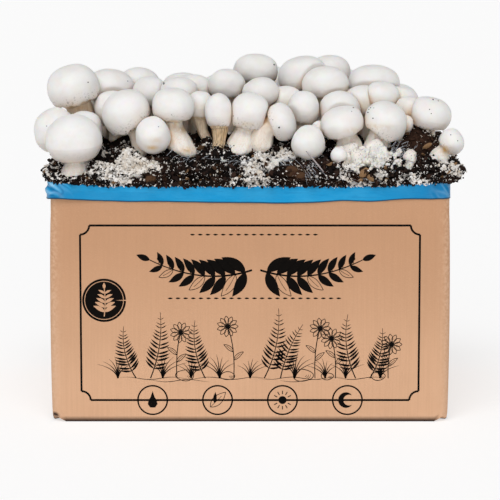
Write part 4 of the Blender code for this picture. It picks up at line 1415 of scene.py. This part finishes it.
def build_mushrooms(material):
    """Every mushroom: shaped, dented, pressed against its neighbours and then coloured."""
    shapes = []
    for index, mushroom in enumerate(MUSHROOMS):
        shapes.append(dent_cap(index, mushroom, shape_mushroom(index, mushroom)))
    press_caps(shapes)
    for index, points in enumerate(shapes):
        number = f"{index + 1:02d}"
        attributes = flesh_attributes(index, points)
        button = add_skin(f"button_{number}", points, material, attributes=attributes)
        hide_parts(f"mushroom_{number}")
    return shapes


# Loose bits on the soil

GOLDEN = (1 + math.sqrt(5)) / 2
ICOSAHEDRON = np.array(
    [(-1, GOLDEN, 0), (1, GOLDEN, 0), (-1, -GOLDEN, 0), (1, -GOLDEN, 0)]
    + [(0, -1, GOLDEN), (0, 1, GOLDEN), (0, -1, -GOLDEN), (0, 1, -GOLDEN)]
    + [(GOLDEN, 0, -1), (GOLDEN, 0, 1), (-GOLDEN, 0, -1), (-GOLDEN, 0, 1)]
) / math.hypot(1, GOLDEN)
ICOSAHEDRON_FACES = np.array(
    [(0, 11, 5), (0, 5, 1), (0, 1, 7), (0, 7, 10), (0, 10, 11), (1, 5, 9), (5, 11, 4), (11, 10, 2)]
    + [(10, 7, 6), (7, 1, 8), (3, 9, 4), (3, 4, 2), (3, 2, 6), (3, 6, 8), (3, 8, 9), (4, 9, 5)]
    + [(2, 4, 11), (6, 2, 10), (8, 6, 7), (9, 8, 1)]
)
OCTAHEDRON = np.array([(1, 0, 0), (-1, 0, 0), (0, 1, 0), (0, -1, 0), (0, 0, 1), (0, 0, -1)], float)
OCTAHEDRON_FACES = np.array(
    [(0, 2, 4), (2, 1, 4), (1, 3, 4), (3, 0, 4), (2, 0, 5), (1, 2, 5), (3, 1, 5), (0, 3, 5)]
)
# Where no crumbs lie, so that the feet at the front stay bare
CLEARED = (
    Patch(-174, -145, 248, 15, 14, 9, 1.0),
    Patch(-58, -132, 262, 13, 12, 9, 0.9),
    Patch(-10, -130, 262, 13, 10, 8, 0.8),
    Patch(-140, -116, 270, 16, 14, 7, 0.7),
    Patch(112, -140, 262, 26, 10, 8, 0.8),
    Patch(156, -142, 256, 8, 10, 12, 0.9),
    Patch(182, -132, 262, 10, 10, 8, 0.8),
)
Crumbs = namedtuple("Crumbs", "name seed count low high bias squash")
EVEN = (0.6, 0.6, 0.6)
FLAT = (0.12, 0.4, 1.1)
FINE = 3.5  # crumbs below this size have the plainer shape
FEW = 0.15  # how thickly pale crumbs lie where there is no mycelium

# Rows of the soil's surface: where the crumbs of the rim start and end, where the others start, and where the
# crumbling edge and the bank behind it end
RIM_START = 2
RIM_END = 4
EDGE_START = 3
EDGE_END = 22
BANK_END = 44
FRONT_Y = -95  # crumbs lie thickest in front of this
OVER_RIM = np.array([0, 0, -1.5])  # the crumbs of the rim lie this much over the film
OVER_FRONT = 1.2


def scatter_crumbs(crumbs, weights, soil_points, material):
    """Uneven many-sided lumps half sunk in the soil, at grid points drawn by their weights. Sizes run from
    low to high, and a bias above 1 makes most of them dark."""
    rng = np.random.default_rng(crumbs.seed)
    fine = crumbs.high < FINE
    shape, faces = (OCTAHEDRON, OCTAHEDRON_FACES) if fine else (ICOSAHEDRON, ICOSAHEDRON_FACES)
    flat = soil_points.reshape(-1, 3)
    weights = np.clip(weights * np.clip(1 - patchy(soil_points, CLEARED), 0, 1), 0, None).ravel()
    chosen = rng.choice(len(flat), crumbs.count, p=weights / weights.sum())
    places = flat[chosen] + rng.normal(size=(crumbs.count, 3)) * 0.7
    size = crumbs.low * (crumbs.high / crumbs.low) ** (rng.random(crumbs.count) ** 1.8)
    places[:, 2] += size * 0.22
    shape = shape * (1 + 0.28 * rng.normal(size=(crumbs.count, len(shape), 1)).clip(-2, 2))
    squash = np.array(crumbs.squash)
    stretch = size[:, None] / 2 * (squash + (1.4 - squash) * rng.random((crumbs.count, 3)))
    matrices = random_turns(rng, crumbs.count) * stretch[:, None, :]
    attributes = {"shade": rng.random(crumbs.count) ** crumbs.bias, "red": redness(places)}
    add_bodies(crumbs.name, shape, faces, places, matrices, material, False, attributes)


def build_crumbs(top, white):
    """Dark crumbs everywhere, pale ones where the mycelium is, thickest on the crumbling edge."""
    row = np.arange(len(top))[:, None]
    shown = (row >= EDGE_START) * np.where(row < EDGE_END, 1.5, 1.0) * np.where(row < BANK_END, 1.0, 0.25)
    base = shown * np.where(top[..., 1] < FRONT_Y, 3.5, 1.0)
    rim = (row >= RIM_START) * (row <= RIM_END) * np.ones(white.shape)
    over = top + OVER_RIM
    over[..., 1] -= OVER_FRONT * (over[..., 1] < -140)
    pale_share = smooth_step(white, 0.35, 0.75)
    fine_dark = 1.1 - 0.8 * pale_share
    fine_pale = FEW + pale_share**1.5
    dark = crumb("dark_crumbs", SOIL_BLACK, SOIL_BROWN, RED_BROWN)
    pale = crumb("mycelium_lumps", BEIGE, MYCELIUM, BEIGE)
    wood = crumb("wood_chips", WOOD_DARK, WOOD_PALE, RED_BROWN)
    for crumbs, weights, places, material in (
        (Crumbs("crumbs_dark", 1, 2600, 2.6, 6.5, 2, EVEN), base * (1.1 - pale_share), top, dark),
        (Crumbs("crumbs_dark_fine", 2, 21000, 0.9, 3.2, 2, EVEN), base * fine_dark, top, dark),
        (Crumbs("crumbs_pale", 3, 2600, 1.8, 4.4, 0.4, EVEN), base * pale_share**2, top, pale),
        (Crumbs("crumbs_pale_fine", 4, 22000, 0.8, 2.9, 0.4, EVEN), base * fine_pale, top, pale),
        (Crumbs("chips", 5, 260, 2.5, 6.5, 2, FLAT), base, top, wood),
        (Crumbs("crumbs_rim", 6, 3400, 1.3, 4.0, 2, EVEN), rim * (1.2 - pale_share), over, dark),
        (Crumbs("crumbs_rim_pale", 7, 2600, 0.9, 2.4, 0.4, EVEN), rim * fine_pale, over, pale),
    ):
        scatter_crumbs(crumbs, weights, places, material)


# Rounded things in the soil at the front: lumps of fresh growth round the feet, pins and chips. A blob has
# its middle, its three half sizes and its turn about the front-to-back direction in degrees.
Blob = namedtuple("Blob", "x y z half_x half_y half_z turn")
FRESH_LUMPS = (
    Blob(93, -131, 257, 8, 7, 7, 0),
    Blob(105, -131, 261, 9, 7, 8, 20),
    Blob(115, -132, 258, 9, 7, 8, 0),
    Blob(128, -131, 262, 10, 8, 9, -15),
    Blob(138, -130, 259, 6, 6, 7, 0),
    Blob(99, -127, 268, 8, 7, 8, 0),
    Blob(121, -127, 269, 11, 8, 9, 10),
    Blob(84, -135, 253, 4.5, 4, 4, 0),
    Blob(100, -137, 251, 5, 4, 4, 30),
    Blob(122, -137, 252, 5, 4, 4, 0),
    Blob(146, -134, 256, 4, 4, 4, 0),
    Blob(156, -137, 263, 7.2, 6.5, 6.2, 10),
    Blob(156, -137, 254, 5.4, 5, 8, -5),
    Blob(153, -138, 247, 5, 5, 4, 0),
    Blob(178, -130, 258, 6.5, 6, 5, 20),
    Blob(188, -131, 258, 5.5, 5, 5, 0),
    Blob(26, -134, 257, 5, 5, 3.5, 0),
    Blob(38, -136, 256, 4, 4, 3, 0),
    Blob(-26, -131, 259, 4, 4, 3.2, 0),
    Blob(-110, -140, 246, 7, 6, 5, 0),
    Blob(-98, -137, 253, 5, 5, 4, 15),
)
BROWN_LUMPS = (
    Blob(40, -143, 249, 7.5, 6, 5, 10),
    Blob(49, -143, 245, 5, 5, 4, 0),
    Blob(-97, -146, 242, 6, 5, 4.5, 0),
)
TAN_CHIPS = (
    Blob(111, -149, 249, 5.5, 2.5, 3.4, 40),
    Blob(117, -149, 243, 4.6, 2.4, 2.4, -30),
    Blob(108, -148, 241, 3.0, 2.0, 1.8, 10),
    Blob(174, -118, 271, 5.0, 2.0, 2.4, 25),
    Blob(-62, -150, 243, 3.4, 1.6, 1.4, -20),
)
# Small bumps of fresh growth strewn over the clump at the front: how many, and the box that they lie in
BUMPS = 60
BUMPS_LOW = (84, -142, 249)
BUMPS_HIGH = (146, -128, 270)
BUMP_SIZES = (1.5, 4.2)
BLOB_ROWS = 12
BLOB_COLUMNS = 18


def add_blobs(name, blobs, bumps, seed, material, attributes):
    """Turned and stretched balls as one piece, their surfaces moved in and out by noise: ball n has the
    points middle + turn @ (ball * half sizes * (1 + bumps * noise))."""
    table = np.array(blobs, float)
    around = np.arange(BLOB_COLUMNS) / BLOB_COLUMNS * 2 * math.pi
    rise = np.linspace(-math.pi / 2, math.pi / 2, BLOB_ROWS)[:, None] * 0.995
    level = np.broadcast_to(np.sin(rise), (BLOB_ROWS, BLOB_COLUMNS))
    ball = np.stack([np.cos(rise) * np.cos(around), np.cos(rise) * np.sin(around), level], axis=-1)
    uneven = 1 + bumps * (noise(ball[None] + table[:, None, None, :3] * 1.7, 0.75, seed))
    uneven = uneven + bumps * 0.6 * noise(ball[None] + table[:, None, None, :3] * 2.3, 0.3, seed + 1)
    stretched = ball[None] * table[:, None, None, 3:6] * uneven[..., None]
    turn = np.radians(table[:, 6])
    zero, one = np.zeros(len(turn)), np.ones(len(turn))
    cosine, sine = np.cos(turn), np.sin(turn)
    matrices = np.stack([cosine, zero, -sine, zero, one, zero, sine, zero, cosine], axis=1)
    points = np.einsum("nij,nrcj->nrci", matrices.reshape(-1, 3, 3), stretched) + table[:, None, None, :3]
    size = BLOB_ROWS * BLOB_COLUMNS
    faces = grid_faces(BLOB_ROWS, BLOB_COLUMNS, True)[None] + (np.arange(len(table)) * size)[:, None, None]
    values = {key: np.full(len(table) * size, value) for key, value in attributes.items()}
    return add_mesh(name, points.reshape(-1, 3), [faces.reshape(-1, 4)], material, True, values)


def add_threads(name, starts, ends, lift, radius, material, attributes):
    """Thin tubes of three sides from starts to ends, bowed up by lift and thinner at their ends."""
    sections = 7
    t = np.linspace(0, 1, sections)[None, :, None]
    bend = (starts + ends) / 2 + lift
    path = bezier(starts[:, None], bend[:, None], ends[:, None], t)
    ahead = ends - starts
    side = unit(np.cross(ahead, (0, 1, 0.3)))
    other = unit(np.cross(ahead, side))
    turn = np.arange(3) * 2 * math.pi / 3
    thin = np.broadcast_to(radius, len(starts))[:, None, None] * np.sin(math.pi * (0.12 + 0.76 * t)) ** 0.5
    around = np.cos(turn)[None, :, None] * side[:, None] + np.sin(turn)[None, :, None] * other[:, None]
    points = path[:, :, None] + around[:, None] * thin[..., None]
    size = sections * 3
    faces = grid_faces(sections, 3, True)[None] + (np.arange(len(starts)) * size)[:, None, None]
    first = np.arange(len(starts))[:, None] * size
    caps = np.concatenate([first + np.array([2, 1, 0]), first + size - 3 + np.array([0, 1, 2])])
    values = {key: np.full(len(starts) * size, value) for key, value in attributes.items()}
    return add_mesh(name, points.reshape(-1, 3), [faces.reshape(-1, 4), caps], material, True, values)


Tangle = namedtuple("Tangle", "x y z reach_x reach_z slope count")
# Where threads of mycelium show, and how much they rise along x
TANGLES = (
    Tangle(62, -147, 247, 9, 10, -1.2, 26),
    Tangle(30, -140, 258, 16, 6, -0.5, 34),
    Tangle(150, -132, 268, 12, 8, 0.7, 34),
    Tangle(-20, -140, 258, 20, 8, 0.3, 20),
    Tangle(108, -148, 239, 20, 4, 0.2, 18),
    Tangle(-60, -138, 262, 12, 5, 0.8, 10),
)
THREAD_RADII = (0.07, 0.17)
# The two pieces of straw that lean on the soil at the front
STRAW_STARTS = np.array([(71.5, -150.5, 249.5), (86, -132, 250.0)])
STRAW_ENDS = np.array([(55.5, -146, 268.5), (70, -118, 262.0)])
STRAW_RADII = np.array([0.95, 0.6])


def build_threads(material, straw):
    """Threads of mycelium, each along the slope of its tangle and turned a little, and the straw."""
    rng = np.random.default_rng(9)
    starts, ends = [], []
    for tangle in TANGLES:
        size = (tangle.count, 3)
        middle = np.array([tangle.x, tangle.y, tangle.z])
        spread = rng.normal(size=size) * (tangle.reach_x / 2, 2.5, tangle.reach_z / 2)
        along = unit(np.broadcast_to((1, 0, tangle.slope), size)) + rng.normal(size=size) * (0.35, 0.3, 0.35)
        reach = rng.uniform(2, 6, (tangle.count, 1))
        starts.append(middle + spread - along * reach)
        ends.append(middle + spread + along * reach)
    starts, ends = np.concatenate(starts), np.concatenate(ends)
    lift = rng.normal(size=starts.shape) * 1.5
    radii = rng.uniform(*THREAD_RADII, len(starts))
    add_threads("mycelium_threads", starts, ends, lift, radii, material, {})
    no_lift = np.zeros(STRAW_STARTS.shape)
    add_threads("straw", STRAW_STARTS, STRAW_ENDS, no_lift, STRAW_RADII, straw, {})


Speck = namedtuple("Speck", "button x z size")
# Crumbs of soil that lie on the caps, where the front view shows them
SPECKS = (
    Speck(20, -159, 332, 1.5), Speck(32, -122, 330, 1.2), Speck(24, -92, 333, 2.4), Speck(7, 28, 291, 1.9),
    Speck(7, 22, 297, 1.0), Speck(9, 116, 307.5, 1.3), Speck(9, 118, 309, 1.4), Speck(9, 115, 305, 1.1),
    Speck(9, 119.5, 300, 1.4), Speck(9, 121, 309, 0.9), Speck(8, 101.5, 310, 1.3), Speck(8, 99, 306, 0.8),
    Speck(15, 175, 307, 1.4), Speck(15, 178, 303, 1.0), Speck(15, 181, 316, 1.6), Speck(15, 186, 314, 1.1),
    Speck(12, -116, 287, 1.3), Speck(12, -119, 283, 1.0), Speck(1, -89, 293, 0.9), Speck(13, -199, 290, 0.9),
    Speck(37, 25, 343, 1.6), Speck(3, 196, 283, 1.1), Speck(3, 203, 277, 1.0), Speck(4, -77, 303, 0.9),
    Speck(6, -16, 301, 1.0), Speck(6, -13, 299, 0.7), Speck(16, -42, 312, 0.8), Speck(2, 55, 268, 0.9),
    Speck(0, -150, 265, 0.8), Speck(9, 125, 277, 1.8), Speck(9, 127, 275, 1.4), Speck(8, 96, 272, 1.4),
)


def build_specks(shapes, material):
    """Each speck sits on the frontmost point of its mushroom that is near its place in the front view."""
    places = []
    for speck in SPECKS:
        cap = shapes[speck.button].reshape(-1, 3)
        seen = np.hypot(cap[:, 0] - speck.x, cap[:, 2] - speck.z) * 3 + cap[:, 1]
        places.append(cap[np.argmin(seen)])
    count = len(places)
    rng = np.random.default_rng(12)
    stretch = np.array([speck.size for speck in SPECKS])[:, None] / 2 * (0.7 + 0.6 * rng.random((count, 3)))
    shape = ICOSAHEDRON * (1 + 0.2 * rng.normal(size=(count, 12, 1)))
    matrices = random_turns(rng, count) * stretch[:, None, :]
    attributes = {"shade": rng.random(count) * 0.5, "red": np.zeros(count)}
    places = np.array(places)
    add_bodies("specks", shape, ICOSAHEDRON_FACES, places, matrices, material, False, attributes)


def build_loose_bits(soil_points, white, shapes, flesh):
    """Crumbs, fresh growth, lumps, chips, threads and the specks on the caps."""
    build_crumbs(soil_points, white)
    clean = {"stem": 0.5, "painted_warm_shade": 0.12, "deep": 0.0, "painted_crease": 0.0, "stain": 0.0, "dirt": 0.45, "low": 0.0}
    rng = np.random.default_rng(21)
    middles = rng.uniform(BUMPS_LOW, BUMPS_HIGH, (BUMPS, 3))
    halves = rng.uniform(*BUMP_SIZES, (BUMPS, 3))
    middles[:, 1] = BUMPS_LOW[1] + (middles[:, 2] - BUMPS_LOW[2]) * 0.55 + rng.normal(size=BUMPS)
    bumps = np.column_stack([middles, halves, rng.uniform(-40, 40, BUMPS)])
    add_blobs("fresh_lumps", FRESH_LUMPS, 0.3, 51, flesh, clean)
    add_blobs("fresh_bumps", bumps, 0.3, 81, flesh, clean)
    wood = crumb("brown_lumps", WOOD_DARK, WOOD_PALE, RED_BROWN)
    add_blobs("brown_lumps", BROWN_LUMPS, 0.22, 61, wood, {"shade": 0.12, "red": 0.3})
    add_blobs("tan_chips", TAN_CHIPS, 0.3, 71, wood, {"shade": 0.75, "red": 0.0})
    thread = Finish("mycelium_thread", 0.6, 0.3).finish(Base_Color=THREAD_GREY)
    straw = Finish("straw", 0.35, 0.5).finish(Base_Color=STRAW_GREY)
    build_threads(thread, straw)
    build_specks(shapes, crumb("cap_specks", SOIL_BLACK, SOIL_BROWN, SOIL_BROWN))


# The stage


FLOOR_REACH = 12000


def build_stage(material):
    """A wide flat floor."""
    corners = ((-1, -1, 0), (1, -1, 0), (1, 1, 0), (-1, 1, 0))
    points = np.array(corners, float) * FLOOR_REACH
    mesh = bpy.data.meshes.new("floor")
    mesh.from_pydata((points * MM).tolist(), [], [(0, 1, 2, 3)])
    mesh.materials.append(material)
    add_object("floor", mesh)


def aim(thing, place, target):
    """Puts a light or camera at a place and turns it so that its -Z points at the target."""
    place = np.array(place, float)
    back = unit(place - np.array(target, float))
    side = unit(np.cross((0, 0, 1), back))
    matrix = np.eye(4)
    matrix[:3, :3] = np.column_stack([side, np.cross(back, side), back])
    matrix[:3, 3] = place
    thing.matrix_world = Matrix(matrix.tolist())


# Soft suns; azimuth 0 shines from the front and 90 from the right, width is the angle it spans
Sun = namedtuple("Sun", "name azimuth elevation width strength")
SUNS = (
    Sun("key", -8, 60, 42, 0.46),
    Sun("front", -12, 10, 60, 0.22),
)
SKY = 0.31

CAMERA_ELEVATION = math.radians(9)
CAMERA_DISTANCE = 2.6
CAMERA_TARGET = (0, -CARTON_DEPTH / 2 * MM, 0.1717)
CAMERA_LENS = 191.5
SENSOR = 36
FARTHEST = 40  # metres


def build_camera():
    """A long lens in front of the printed side, a little above it, as the photograph has it."""
    camera = bpy.data.cameras.new("camera")
    camera.lens = CAMERA_LENS
    camera.sensor_width = SENSOR
    camera.clip_end = FARTHEST
    thing = add_object("camera", camera)
    bpy.context.scene.camera = thing
    x, y, z = CAMERA_TARGET
    across = CAMERA_DISTANCE * math.cos(CAMERA_ELEVATION)
    aim(thing, (x, y - across, z + CAMERA_DISTANCE * math.sin(CAMERA_ELEVATION)), CAMERA_TARGET)


def build_light():
    """An even white sky and the suns."""
    world = bpy.data.worlds.new("studio")
    world.use_nodes = True
    background = world.node_tree.nodes["Background"]
    background.inputs["Color"].default_value = (1, 1, 1, 1)
    background.inputs["Strength"].default_value = SKY
    bpy.context.scene.world = world
    for sun in SUNS:
        light = bpy.data.lights.new(sun.name, "SUN")
        light.energy = sun.strength * math.pi
        light.angle = math.radians(sun.width)
        thing = add_object(sun.name, light)
        azimuth = math.radians(sun.azimuth)
        elevation = math.radians(sun.elevation)
        across = math.cos(elevation)
        place = (math.sin(azimuth) * across, -math.cos(azimuth) * across, math.sin(elevation))
        aim(thing, place, (0, 0, 0))
    bpy.context.scene.view_settings.view_transform = "Standard"


board = kraft_board()
build_carton(board)
build_flaps(board)
build_print()
build_film(blue_film())
soil_points, soil_white = build_soil(compost())
flesh = mushroom_flesh()
buttons = build_mushrooms(flesh)
build_loose_bits(soil_points, soil_white, buttons, flesh)
build_stage(plain_floor())
build_light()
build_camera()
